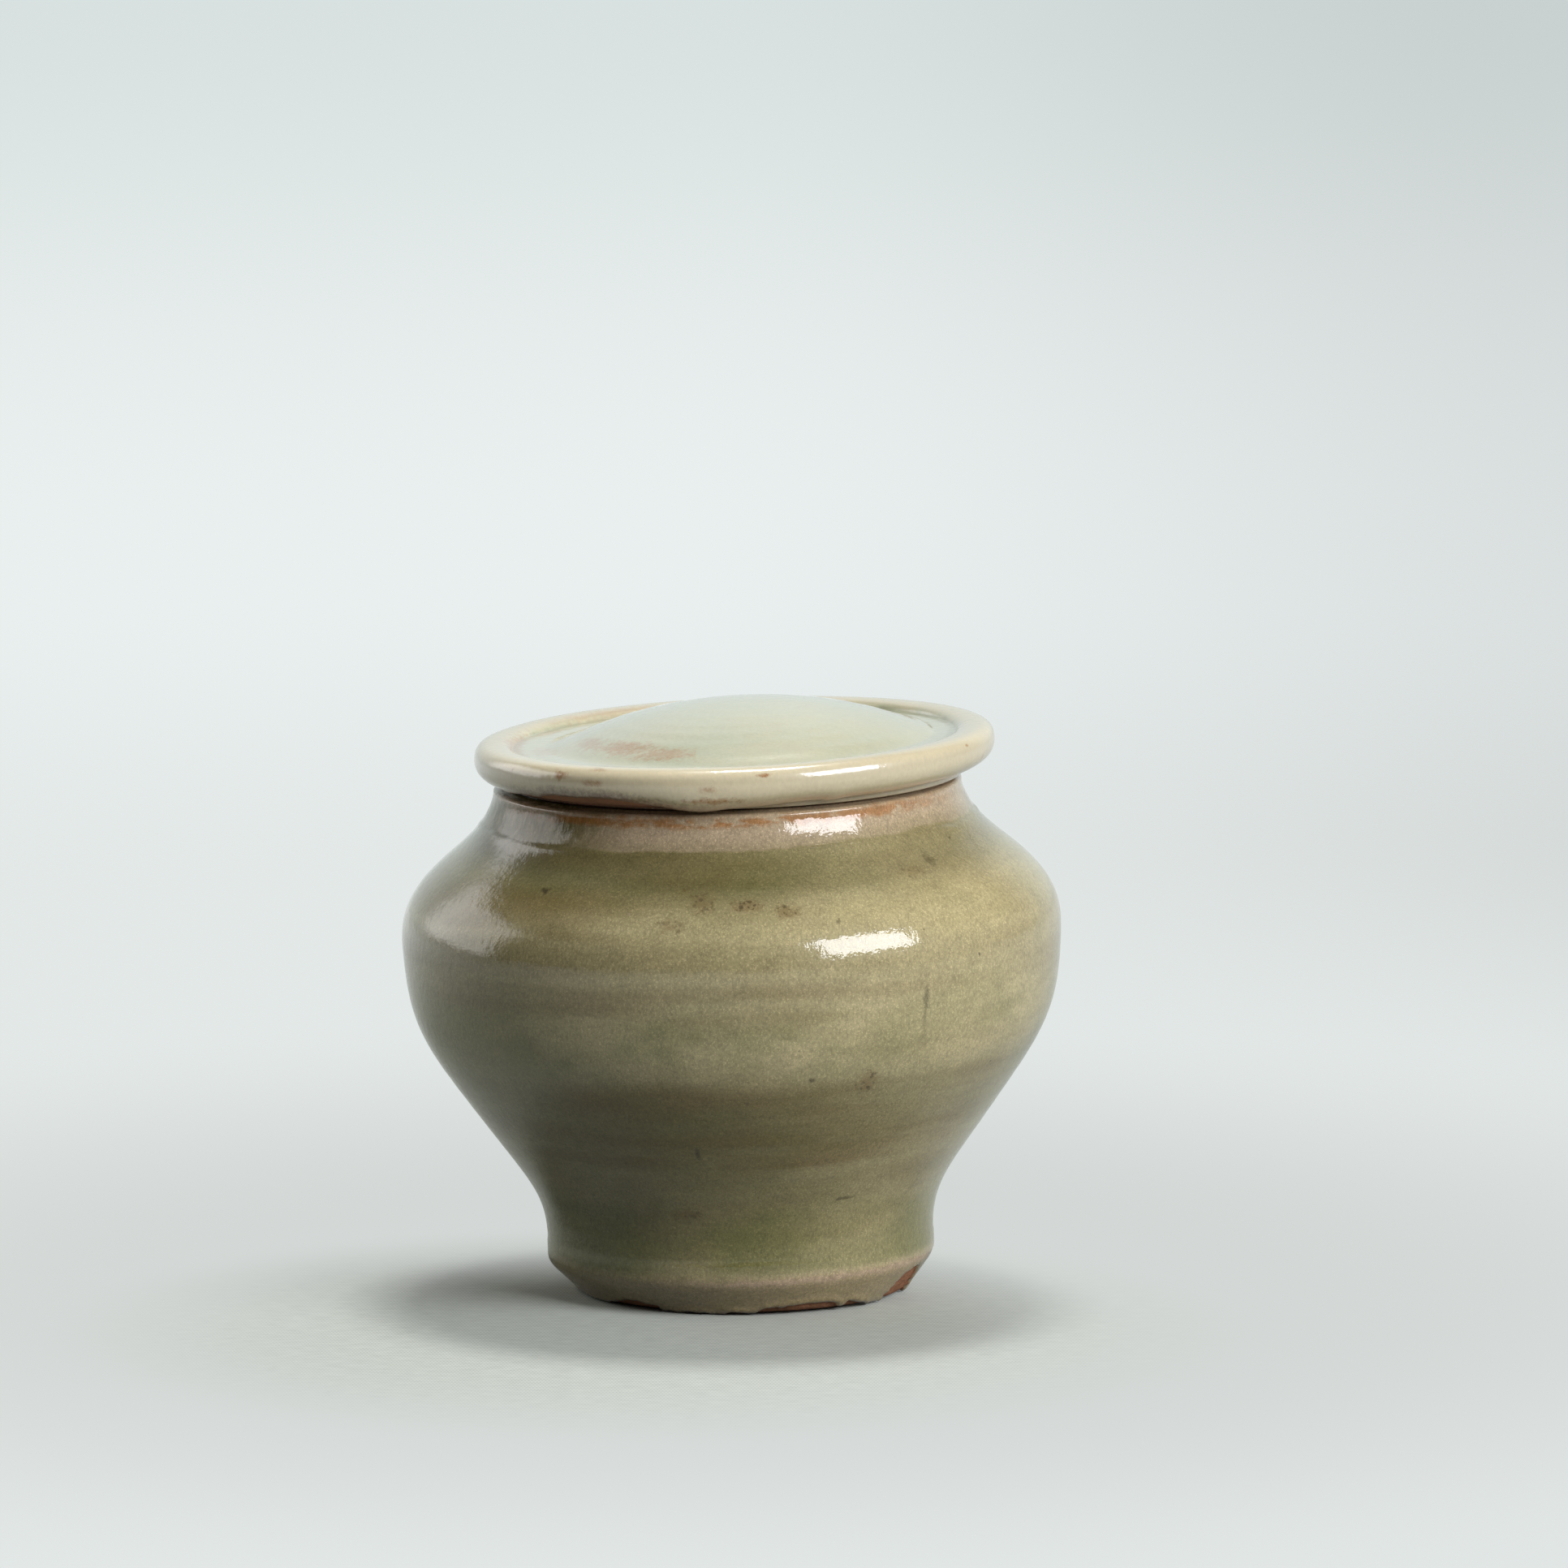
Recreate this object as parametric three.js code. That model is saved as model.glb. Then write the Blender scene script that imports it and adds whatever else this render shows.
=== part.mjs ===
// A small lidded celadon jar, thrown on the wheel: a full belly over a trimmed foot, a short neck,
// and a low domed lid that rests on the lip, with a flange that goes down inside the mouth.
// The body sank to one side in the kiln, so all of it above the level foot leans towards -X.
// Millimetres, +Z up. The origin is on the table, under the middle of the belly.
import * as THREE from "three";

// Foot. The wall above the chamfer is upright, and the ring that it stands on is bare clay.
const footRadius = 29.3;
const footWallHeight = 3.4;
const footChamferHeight = 5.3;
const footChamferWidth = 4.6;
const footRingWidth = 6.4;
const footRecessDepth = 2.6;

// Belly and neck. A fullness is how far an arc runs straight on before it turns in.
// The neck angle is the slope, from upright, at which the shoulder turns up into the neck, and the
// neck length is the rise from there to the lip's outer edge.
const bellyRadius = 50.1;
const bellyHeight = 54.0;
const underBellyFullness = 22.2;
const flareFullness = 14.5;
const shoulderFullness = 10.4;
const neckFullness = 5.9;
const neckRadius = 37.5;
const neckHeight = 72.4;
const neckAngle = THREE.MathUtils.degToRad(32);
const neckLength = 4.6;
const lipRadius = 35.6;
const lipRise = 0.9;

// Thickness of the clay
const wallAtFoot = 5.6;
const wallAtLip = 4.3;
const floorThickness = 5.6;
const floorFillet = 9;

// Soft waves that the potter's fingers left round the outside
const throwingWave = 0.16;
const throwingPitch = 19.5;
const throwingCrest = 41.5;

// How far the body leans
const leanAngle = THREE.MathUtils.degToRad(1.65);

// Lid. Its heights are counted from the seat, the flat ring under it that lies on the lip.
const seatGap = 0.3;
const seatInset = 1.2;
const lidShift = 1.2;
const lidWarpAngle = THREE.MathUtils.degToRad(0.82);
const rimOverhang = 3.75;
const rimUnderInset = 4.6;
const rimUnderHeight = 0.5;
const rimUnderRise = 0.7;
const rimMiddleHeight = 4.2;
const rimTopInset = 2.65;
const rimTopHeight = 6.75;
const rimWidth = 5.9;
const recessHeight = 5.65;
const recessWidth = 4.05;
const domeFillet = 1.5;
const domeHeight = 11.65;
const domeFullness = 18.1;
const domeShift = 1.6;
const lidWall = 4.6;
const flangeDepth = 5.8;
const flangeWall = 4.0;
const flangeClearance = 0.5;

// Rounding of the clay's edges
const edgeRound = 1.0;

// Fineness of the facets
const segments = 60;
const facetLength = 3.4;
const edgeFacets = 3;

const celadon = new THREE.MeshStandardMaterial({ color: 0x8f8a68, roughness: 0.25, metalness: 0 });
const paleCeladon = new THREE.MeshStandardMaterial({ color: 0xd3d0b4, roughness: 0.25, metalness: 0 });

const { clamp, lerp, smoothstep } = THREE.MathUtils;
const at = (radius, height) => new THREE.Vector2(radius, height);

// Points along a curve without its last one, so that stretches join end to start.
function along(curve) {
  const count = Math.ceil(curve.getLength() / facetLength);
  return curve.getSpacedPoints(count).slice(0, -1);
}

// A rounded edge from one point to another, around the corner between them.
function rounded(from, corner, to) {
  return new THREE.QuadraticBezierCurve(from, corner, to).getPoints(edgeFacets).slice(0, -1);
}

// A solid turned from a section that starts and ends on the axis.
function turned(section) {
  return new THREE.LatheGeometry(section, segments).rotateX(Math.PI / 2);
}

// Moves every vertex of a geometry by a function of the vertex.
function reshaped(geometry, move) {
  const position = geometry.attributes.position;
  const vertex = new THREE.Vector3();
  for (let i = 0; i < position.count; i++) {
    move(vertex.fromBufferAttribute(position, i));
    position.setXYZ(i, vertex.x, vertex.y, vertex.z);
  }
  geometry.computeVertexNormals();
  return geometry;
}

// The jar's outline, from the top of the foot to the lip

const footHeight = footChamferHeight + footWallHeight;
const lipHeight = neckHeight + neckLength;
const underBelly = new THREE.CubicBezierCurve(
  at(footRadius, footHeight),
  at(footRadius, footHeight + flareFullness),
  at(bellyRadius, bellyHeight - underBellyFullness),
  at(bellyRadius, bellyHeight),
);
const shoulder = new THREE.CubicBezierCurve(
  at(bellyRadius, bellyHeight),
  at(bellyRadius, bellyHeight + shoulderFullness),
  at(neckRadius + neckFullness * Math.sin(neckAngle), neckHeight - neckFullness * Math.cos(neckAngle)),
  at(neckRadius, neckHeight),
);

// The neck leaves the shoulder in line with it and ends upright at the lip.
const neck = new THREE.QuadraticBezierCurve(
  at(neckRadius, neckHeight),
  at(lipRadius, neckHeight + (neckRadius - lipRadius) / Math.tan(neckAngle)),
  at(lipRadius, lipHeight),
);

// The waves fade out at the foot and up the shoulder.
function throwingMark(height) {
  const fade = smoothstep(height, footHeight, footHeight + throwingPitch / 2)
    * (1 - smoothstep(height, bellyHeight, lipHeight));
  return throwingWave * fade * Math.cos((2 * Math.PI * (height - throwingCrest)) / throwingPitch);
}

function outsideWall() {
  const outline = [...along(underBelly), ...along(shoulder), ...along(neck)];
  return outline.map((point) => at(point.x + throwingMark(point.y), point.y));
}

const mouthRadius = lipRadius - wallAtLip;
const lipTop = lipHeight + lipRise;
const floorHeight = footRecessDepth + floorThickness;

// The inside follows the outline at the clay's thickness, from the lip down to the fillet.
function insideWall() {
  const outline = new THREE.CurvePath();
  outline.add(underBelly);
  outline.add(shoulder);
  outline.add(neck);
  const count = Math.ceil(outline.getLength() / facetLength);
  const points = [];
  for (let i = count - 1; i > 0; i--) {
    const outside = outline.getPointAt(i / count);
    const tangent = outline.getTangentAt(i / count);
    const wall = lerp(wallAtFoot, wallAtLip, i / count);
    const inside = at(outside.x - tangent.y * wall, outside.y + tangent.x * wall);
    if (inside.y > floorHeight + floorFillet / 2) points.push(inside);
  }
  return points;
}

// A fillet that leaves the wall in line with it and ends flat on the floor.
function floorRound(wall) {
  const [above, end] = wall.slice(-2);
  const slope = (above.x - end.x) / (above.y - end.y);
  const corner = at(end.x - slope * (end.y - floorHeight), floorHeight);
  const floorEdge = at(corner.x - floorFillet / 2, floorHeight);
  return [...along(new THREE.QuadraticBezierCurve(end, corner, floorEdge)), floorEdge];
}

function jarSection() {
  const ringOutside = footRadius - footChamferWidth;
  const ringInside = ringOutside - footRingWidth;
  const lipMiddle = at(lipRadius - wallAtLip / 2, lipTop);
  const mouthEdge = at(mouthRadius, lipTop - edgeRound);
  const inside = insideWall();
  return [
    at(0, footRecessDepth),
    at(ringInside - footRecessDepth / 2, footRecessDepth),
    at(ringInside, 0),
    at(ringOutside, 0),
    ...rounded(
      at(footRadius - footChamferWidth / 5, footChamferHeight * 4 / 5),
      at(footRadius, footChamferHeight),
      at(footRadius, footChamferHeight + edgeRound),
    ),
    at(footRadius, footChamferHeight + edgeRound),
    ...outsideWall(),
    ...rounded(at(lipRadius, lipHeight), at(lipRadius - lipRise / 2, lipTop), lipMiddle),
    ...rounded(lipMiddle, at(mouthRadius, lipTop), mouthEdge),
    mouthEdge,
    ...inside.slice(0, -1),
    ...floorRound(inside),
    at(0, floorHeight),
  ];
}

// The middle of the level foot lies under the leaning axis.
const footShift = bellyHeight * Math.sin(leanAngle);

// Turns a point about the middle of the foot. The ring that stands on the table stays level.
function lean(point) {
  const share = clamp(point.z / footChamferHeight, 0, 1);
  point.applyAxisAngle(new THREE.Vector3(0, 1, 0), -leanAngle * share);
  point.x += footShift;
}

function jarBody() {
  const mesh = new THREE.Mesh(reshaped(turned(jarSection()), lean), celadon);
  mesh.name = "jar_body";
  return mesh;
}

// Lid

const rimRadius = lipRadius + rimOverhang;
const recessRadius = rimRadius - rimWidth;
const flangeRadius = mouthRadius - flangeClearance - lidShift;
const flangeInside = flangeRadius - flangeWall;
const hollowTop = domeHeight - lidWall;
const hollowEdge = recessHeight + edgeRound - lidWall;

function flangeSection() {
  const flangeFoot = at(flangeInside + flangeWall / 2, -flangeDepth);
  const outerEdge = at(flangeRadius, edgeRound - flangeDepth);
  return [
    ...rounded(at(flangeInside, edgeRound - flangeDepth), at(flangeInside, -flangeDepth), flangeFoot),
    ...rounded(flangeFoot, at(flangeRadius, -flangeDepth), outerEdge),
    outerEdge,
  ];
}

function rimSection() {
  const under = at(rimRadius - rimUnderInset, rimUnderHeight);
  const middle = at(rimRadius, rimMiddleHeight);
  const top = at(rimRadius - rimTopInset, rimTopHeight);
  const recessEdge = at(recessRadius, recessHeight);
  return [
    ...rounded(under, at(rimRadius, rimUnderHeight + rimUnderRise), middle),
    ...rounded(middle, at(rimRadius, rimTopHeight), top),
    ...rounded(top, at(recessRadius + edgeRound / 2, rimTopHeight), recessEdge),
    recessEdge,
  ];
}

function lidSection() {
  const hollow = new THREE.CubicBezierCurve(
    at(0, hollowTop),
    at(domeFullness, hollowTop),
    at(flangeInside, hollowEdge + edgeRound),
    at(flangeInside, hollowEdge),
  );
  const domeFoot = at(recessRadius - recessWidth, recessHeight);
  const dome = new THREE.CubicBezierCurve(
    domeFoot,
    at(domeFoot.x - domeFillet, recessHeight),
    at(domeFullness, domeHeight),
    at(0, domeHeight),
  );
  return [
    ...along(hollow),
    at(flangeInside, hollowEdge),
    ...flangeSection(),
    at(flangeRadius, 0),
    at(lipRadius - seatInset, 0),
    ...rimSection(),
    ...along(dome),
    at(0, domeHeight),
  ];
}

// The rim and the dome warped in the kiln while the seat stayed flat, and the dome is off the middle.
function warpLid(point) {
  const onDome = 1 - smoothstep(Math.hypot(point.x, point.y), flangeInside, recessRadius);
  point.z += smoothstep(point.z, 0, rimUnderHeight) * point.x * Math.tan(lidWarpAngle);
  point.x += smoothstep(point.z, hollowEdge, recessHeight) * onDome * domeShift;
}

function lid() {
  const mesh = new THREE.Mesh(reshaped(turned(lidSection()), warpLid), paleCeladon);
  mesh.name = "lid";
  const seated = new THREE.Group();
  seated.add(mesh);
  seated.rotation.y = -leanAngle;
  lean(seated.position.set(lidShift, 0, lipTop + seatGap));
  return seated;
}

const jar = new THREE.Group();
jar.add(jarBody(), lid());

export default jar;
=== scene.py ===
"""A small lidded celadon jar: its thrown clay, its glazes and its bare foot, on a pale floor."""

import math

import bmesh
import bpy
from bpy.props import FloatProperty, FloatVectorProperty, IntProperty, PointerProperty
from bpy.types import NodeSocket, Operator, Panel, PropertyGroup
from mathutils import Euler, Matrix, Vector, noise
from mathutils.geometry import interpolate_bezier


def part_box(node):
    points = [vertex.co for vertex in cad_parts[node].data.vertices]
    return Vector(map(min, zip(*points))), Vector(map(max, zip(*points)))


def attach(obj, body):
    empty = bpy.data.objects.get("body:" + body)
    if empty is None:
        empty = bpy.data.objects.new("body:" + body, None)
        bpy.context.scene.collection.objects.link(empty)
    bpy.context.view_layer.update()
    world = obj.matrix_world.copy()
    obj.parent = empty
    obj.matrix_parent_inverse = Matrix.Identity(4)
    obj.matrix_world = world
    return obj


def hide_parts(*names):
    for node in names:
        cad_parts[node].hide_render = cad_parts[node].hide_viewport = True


bl_info = {
    "name": "Celadon Jar",
    "version": (1, 0, 0),
    "blender": (4, 5, 0),
    "location": "3D View > Sidebar > Celadon Jar",
    "description": "Models a small lidded celadon jar with its glazes, a floor, lamps and a camera",
    "category": "Object",
}

# The frame

MM = 0.001
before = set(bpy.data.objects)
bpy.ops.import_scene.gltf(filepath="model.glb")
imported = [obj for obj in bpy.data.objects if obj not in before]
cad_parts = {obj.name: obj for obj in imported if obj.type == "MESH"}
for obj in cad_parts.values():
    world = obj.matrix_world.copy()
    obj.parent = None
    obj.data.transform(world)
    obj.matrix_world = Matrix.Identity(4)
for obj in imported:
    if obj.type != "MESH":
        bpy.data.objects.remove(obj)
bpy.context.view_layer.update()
JAR_LOW, JAR_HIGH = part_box("jar_body")
BELLY_RADIUS = (JAR_HIGH.y - JAR_LOW.y) / 2

SENSOR_WIDTH = 36.0


def paint(code):
    """A colour written as on a screen, such as 9a906d, as the linear values that Blender keeps."""
    parts = [int(code[i:i + 2], 16) / 255 for i in (0, 2, 4)]
    return [part / 12.92 if part <= 0.04045 else ((part + 0.055) / 1.055) ** 2.4 for part in parts]


def length(name, description, millimetres):
    return FloatProperty(
        name=name, description=description, default=millimetres * MM,
        min=0.0, unit="LENGTH", precision=5,
    )


def angle(name, description, degrees):
    return FloatProperty(
        name=name, description=description, default=math.radians(degrees), unit="ROTATION",
    )


def tint(name, description, code):
    return FloatVectorProperty(
        name=name, description=description, default=paint(code),
        size=3, min=0.0, max=1.0, subtype="COLOR",
    )


def plain(name, description, value):
    return FloatProperty(name=name, description=description, default=value, min=0.0)


# Sizes and colours that a user would change

class CeladonJarSizes(PropertyGroup):
    """Sizes of the jar's body"""
    foot_radius: length("Foot radius", "Outside of the wall above the foot's chamfer", 29.3)
    foot_wall_height: length("Foot wall height", "Upright wall above the chamfer", 3.4)
    chamfer_height: length("Chamfer height", "Height of the chamfer that the knife left", 5.3)
    chamfer_width: length("Chamfer width", "How far the chamfer goes in", 4.6)
    ring_width: length("Ring width", "Width of the ring that the jar stands on", 6.4)
    recess_depth: length("Recess depth", "Hollow inside the ring", 2.6)
    belly_height: length("Belly height", "Height of the widest place", 54.0)
    under_belly_fullness: length("Fullness under the belly", "Upright run below the belly", 22.2)
    flare_fullness: length("Flare fullness", "Upright run above the foot", 14.5)
    shoulder_fullness: length("Shoulder fullness", "Upright run above the belly", 10.4)
    neck_fullness: length("Neck fullness", "Straight run of the shoulder below the neck", 5.9)
    neck_radius: length("Neck radius", "Where the shoulder turns up into the neck", 37.5)
    neck_height: length("Neck height", "Where the shoulder turns up into the neck", 72.4)
    neck_angle: angle("Neck angle", "Slope from upright at the foot of the neck", 32)
    lip_radius: length("Lip radius", "Outside of the lip", 35.6)
    lip_height: length("Lip height", "Height of the lip's outer edge", 77.0)
    lip_rise: length("Lip rise", "How far the lip is rounded up", 0.9)
    wall_at_foot: length("Wall at the foot", "Thickness of the clay above the foot", 5.6)
    wall_at_lip: length("Wall at the lip", "Thickness of the clay at the lip", 4.3)
    floor_thickness: length("Floor thickness", "Clay under the inside's floor", 5.6)
    floor_fillet: length("Floor fillet", "Rounding between the wall and the floor", 9.0)
    edge_round: length("Edge rounding", "Rounding of the clay's edges", 1.0)
    throwing_wave: length("Throwing wave", "Depth of the waves that the fingers left", 0.16)
    throwing_pitch: length("Throwing pitch", "Distance between two waves", 19.5)
    throwing_crest: length("Throwing crest", "Height of one crest", 41.5)
    unevenness: length("Unevenness", "How far the wall strays from a true turned shape", 0.09)
    turning_ridge: length("Turning ridge", "Depth of the fine ridges left by the tool", 0.016)
    glaze_thickness: length("Glaze thickness", "Step from the bare clay to the glaze", 0.3)
    neck_step: length("Neck step", "Step from the thin glaze of the neck to the shoulder's", 0.16)
    lean: angle("Lean", "How far the body sank to one side", 1.65)
    steps: IntProperty(name="Steps", description="Steps round the axis", default=300, min=32)


class CeladonLidSizes(PropertyGroup):
    """Sizes of the lid. Its heights are counted from the seat that lies on the lip"""
    seat_gap: length("Seat gap", "Space between the lip and the seat", 0.3)
    seat_inset: length("Seat inset", "How far inside the lip's edge the seat ends", 1.2)
    shift: length("Shift", "How far the lid lies off the middle of the mouth", 1.2)
    warp: angle("Warp", "How far the rim and the dome tilt on the flat seat", 0.82)
    rim_overhang: length("Rim overhang", "How far the rim stands out over the lip", 3.75)
    rim_under_inset: length("Rim under inset", "Width of the rim's underside", 4.6)
    rim_under_height: length("Rim under height", "Height of the underside's inner edge", 0.5)
    rim_under_rise: length("Rim under rise", "How far the underside rises outwards", 0.7)
    rim_middle_height: length("Rim middle height", "Height of the rim's widest place", 4.2)
    rim_top_inset: length("Rim top inset", "How far in the rim's crest lies", 2.65)
    rim_top_height: length("Rim top height", "Height of the rim's crest", 6.75)
    rim_width: length("Rim width", "From the widest place to the recess", 5.9)
    recess_height: length("Recess height", "Height of the recess", 5.65)
    recess_width: length("Recess width", "From the rim to the foot of the dome", 4.05)
    dome_fillet: length("Dome fillet", "Level run at the foot of the dome", 1.5)
    dome_height: length("Dome height", "Height of the dome", 11.65)
    dome_fullness: length("Dome fullness", "Level run at the top of the dome", 18.1)
    dome_shift: length("Dome shift", "How far the dome lies off the middle", 1.6)
    wall: length("Wall", "Thickness of the clay under the dome", 4.6)
    flange_depth: length("Flange depth", "How far the flange goes down into the mouth", 5.8)
    flange_wall: length("Flange wall", "Thickness of the flange", 4.0)
    flange_clearance: length("Flange clearance", "Space between the flange and the mouth", 0.5)
    unevenness: length("Unevenness", "How far the rim strays from a true turned shape", 0.13)
    glaze_thickness: length("Glaze thickness", "Step from the bare clay to the glaze", 0.25)
    steps: IntProperty(name="Steps", description="Steps round the axis", default=360, min=32)


class CeladonColours(PropertyGroup):
    """Colours of the glazes and of the clay"""
    khaki: tint("Thin glaze", "Where the glaze is thin and fired warm", "bdb085")
    olive: tint("Thick glaze", "Where the glaze is thick and dark", "645d2f")
    green: tint("Green glaze", "Where the glaze pooled and fired greener", "6b6d3b")
    blush: tint("Brown blush", "Where the clay's iron shows through", "7b6138")
    bare_neck: tint("Neck", "Very thin glaze under the lip", "b8a486")
    edge_line: tint("Edge line", "Glaze run thin over the foot's edge", "b8a184")
    rust: tint("Rust", "Iron along the lip and in the stains", "a36827")
    clay: tint("Bare clay", "Clay that the glaze left bare", "a8785a")
    speck: tint("Specks", "Iron specks and dirt in the glaze", "3d3220")
    pale: tint("Lid glaze", "Pale celadon of the lid's top", "cbcdb0")
    cream: tint("Lid rim", "Thin cream glaze on the lid's rim", "d6c9a7")
    plum: tint("Plum fringe", "Glaze gone dark along the bare edge of the rim", "775340")
    chamfer: tint("Chamfer", "Dull thin glaze on the foot's chamfer", "aa986e")
    stain: tint("Lid stains", "Tan stains on the lid", "bb8760")


class CeladonStage(PropertyGroup):
    """Floor, lamps and camera"""
    floor: tint("Floor", "Colour of the pale cloth near the jar", "d3d7d5")
    shaded_cloth: tint("Shaded cloth", "Colour of the cloth in the jar's shadow", "d0d5cc")
    floor_shade: tint("Floor's bounce", "Colour of the light that the cloth throws up", "737674")
    backdrop: tint("Backdrop", "Colour of the cloth far from the jar", "e9efee")
    horizon: tint("Horizon", "Colour of the room behind the cloth", "d8e1e0")
    floor_size: FloatProperty(name="Floor size", default=16.0, unit="LENGTH",
                              description="Side of the square floor")
    world: plain("World", "Strength of the even light from all round", 0.035)
    room: plain("Room", "Strength of the even light from the right of the room", 0.85)
    sky: plain("Ceiling", "Strength of the even light from above", 0.22)
    key: plain("Key lamp", "Brightness of the lamp at the front right", 11.0)
    side: plain("Side lamp", "Brightness of the wide lamp at the left", 1.45)
    side_shine: plain("Side shine", "Brightness of the same lamp in the gloss of the glaze", 2.2)
    back: plain("Back lamp", "Brightness of the lamp high up behind the jar", 28.5)
    lens: plain("Lens", "Focal length in millimetres for a 36 mm sensor", 384.62)
    pitch: angle("Pitch", "How far the camera looks down", 8.39335)
    camera: FloatVectorProperty(name="Camera", default=(0.0078805, -2.5, 0.445817),
                                description="Place of the camera", subtype="TRANSLATION")


# Measures that meshes and materials share

def clamp(value, low=0.0, high=1.0):
    return max(low, min(high, value))


def ease(value, low, high):
    """Goes smoothly from 0 at low to 1 at high."""
    share = clamp((value - low) / (high - low))
    return share * share * (3 - 2 * share)


def bell(value, middle, width):
    """1 at the middle, falling off smoothly to both sides."""
    return math.exp(-((value - middle) / width) ** 2)


def winding(distance, pitch, bearing):
    """From -1 to 1, along a thread that goes once round the axis in each pitch."""
    return math.sin(math.tau * (distance / pitch + bearing / 360))


def bearing_of(point):
    """Degrees round the axis, 0 at the front and 90 at the right."""
    return math.degrees(math.atan2(point.x, -point.y))


def hump(bearing, middle, half_width):
    """1 at a bearing, falling to 0 at half a width to each side."""
    off = (bearing - middle + 180) % 360 - 180
    return clamp(1 - (off / half_width) ** 2)


def with_humps(line, bearing, humps):
    """A height with humps added, each given as its bearing, half its width and its height."""
    for middle, half_width, height in humps:
        line += height * hump(bearing, middle, half_width)
    return line


def wavy_line(bearing, layer, level, waves):
    """A level with waves of noise added round the axis. Each line takes its own layer of the noise."""
    turn = math.radians(bearing)
    place = Vector((math.cos(turn), math.sin(turn), layer))
    for frequency, depth in waves:
        level += depth * noise.noise(place * frequency)
    return level


def lean_shift(jar):
    """The foot's middle lies this far to the right, under the leaning axis."""
    return jar.belly_height * math.sin(jar.lean)


def leaned(point, jar):
    """A point of the upright jar where the lean puts it. The ring on the floor stays level."""
    share = clamp(point.z / jar.chamfer_height)
    turn = Matrix.Rotation(-jar.lean * share, 3, "Y")
    return turn @ point + Vector((lean_shift(jar), 0, 0))


def lid_place(jar, lid):
    """The middle of the lid's seat."""
    top = jar.lip_height + jar.lip_rise + lid.seat_gap
    return leaned(Vector((lid.shift, 0, top)), jar)


# Sections and turned solids

# A curve pulled this far to a corner from both sides follows it as a rounded edge does.
CORNER_PULL = 2 / 3

# Vertices nearer than this are one.
WELD = MM / 1000


def at(radius, height):
    return Vector((radius, 0, height))


def curve(start, first, second, end, spacing):
    """Points along a cubic curve, without its last one, about a spacing in millimetres apart."""
    reach = (first - start).length + (second - first).length + (end - second).length
    count = max(2, math.ceil(reach / (spacing * MM)))
    return interpolate_bezier(start, first, second, end, count + 1)[:-1]


def rounded(start, corner, end, spacing):
    """Points of a rounded edge around a corner, spaced in the same way."""
    return curve(start, start.lerp(corner, CORNER_PULL), end.lerp(corner, CORNER_PULL), end, spacing)


def straight(start, end, spacing):
    """Points along a line, spaced in the same way."""
    count = max(1, math.ceil((end - start).length / (spacing * MM)))
    return [start.lerp(end, i / count) for i in range(count)]


def turned(outside, inside, steps):
    """A closed solid spun from a section that starts and ends on the axis."""
    solid = bmesh.new()
    within = solid.verts.layers.float.new("inside")
    line = [solid.verts.new(point) for point in outside + inside]
    for vert in line[len(outside):]:
        vert[within] = 1.0
    edges = [solid.edges.new(pair) for pair in zip(line, line[1:])]
    bmesh.ops.spin(
        solid, geom=line + edges, cent=(0, 0, 0), axis=(0, 0, 1),
        angle=math.tau, steps=steps, use_merge=True,
    )
    bmesh.ops.remove_doubles(solid, verts=solid.verts, dist=WELD)
    bmesh.ops.recalc_face_normals(solid, faces=solid.faces)
    return solid


def finished(name, solid, material):
    """A smooth object of a bmesh, at the origin."""
    for face in solid.faces:
        face.smooth = True
    mesh = bpy.data.meshes.new(name)
    solid.to_mesh(mesh)
    solid.free()
    mesh.materials.append(material)
    piece = bpy.data.objects.new(name, mesh)
    bpy.context.scene.collection.objects.link(piece)
    return piece


# The jar's body

# Each point keeps its height in millimetres over the glaze's edge, up to these.
ALL_BARE = -2.0
ALL_GLAZED = 4.0

# Patches at the foot that the glaze left bare: bearing, half their width, height in millimetres.
BARE_PATCHES = (
    (-39, 13, 1.3),
    (24, 26, 1.35),
    (67, 11, 4.3),
    (150, 25, 1.8),
    (-130, 18, 1.5),
)

# The glaze's edge round the foot and below the neck: layer of the noise, mean height, then the
# frequency and depth of each wave. The heights and depths are in millimetres.
FOOT_EDGE = (0, 0.1, ((9.0, 0.45), (24.0, 0.3)))
NECK_EDGE = (5, 0.0, ((3.0, 0.35), (11.0, 0.22)))

# How far in millimetres each edge is spread, and where its roll or bead is thickest and how wide.
FOOT_EDGE_SPREAD = (-0.2, 0.2)
NECK_EDGE_SPREAD = (-0.25, 0.25)
FOOT_ROLL = (0.5, 0.45)
NECK_BEAD = (-0.45, 0.4)

# Height of the roll and the bead, as shares of the glaze's thickness and of the step at the neck.
FOOT_ROLL_SHARE = 0.55
NECK_BEAD_SHARE = 0.4

# The spiral grooves inside, and the heights over which they come in from the foot and go at the neck.
GROOVE_PITCH = 6.4 * MM
GROOVE_DEPTH = 0.22 * MM
GROOVE_START = 4 * MM
GROOVE_FULL = 30 * MM
GROOVE_FADE = (66 * MM, 74 * MM)

# The wall's slow and broad unevenness: sizes and shares. The broad one is stretched round the axis.
SLOW_SIZE = 26 * MM
SLOW_SHARE = 0.7
BROAD_SIZE = 9 * MM
BROAD_SHARE = 0.35
BROAD_STRETCH = 3

# Below this height a point counts as lying on the floor.
ON_FLOOR = MM / 100

# At the foot the wall strays by this share of what it does above.
FOOT_CALM = 0.3

# The tool's ridges, and the size of the breaks in them.
RIDGE_PITCH = 3.1 * MM
BREAK_SIZE = 12 * MM

# Size and depth of the bare clay's grain at the foot.
GRAIN_SIZE = 0.8 * MM
GRAIN_DEPTH = 0.09 * MM

# The throwing waves lie inwards by this share of their depth.
WAVE_INWARDS = 0.15

# The rounding under the foot's ring goes in by this many edge roundings.
RING_ROUNDING = 1.4

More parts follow.
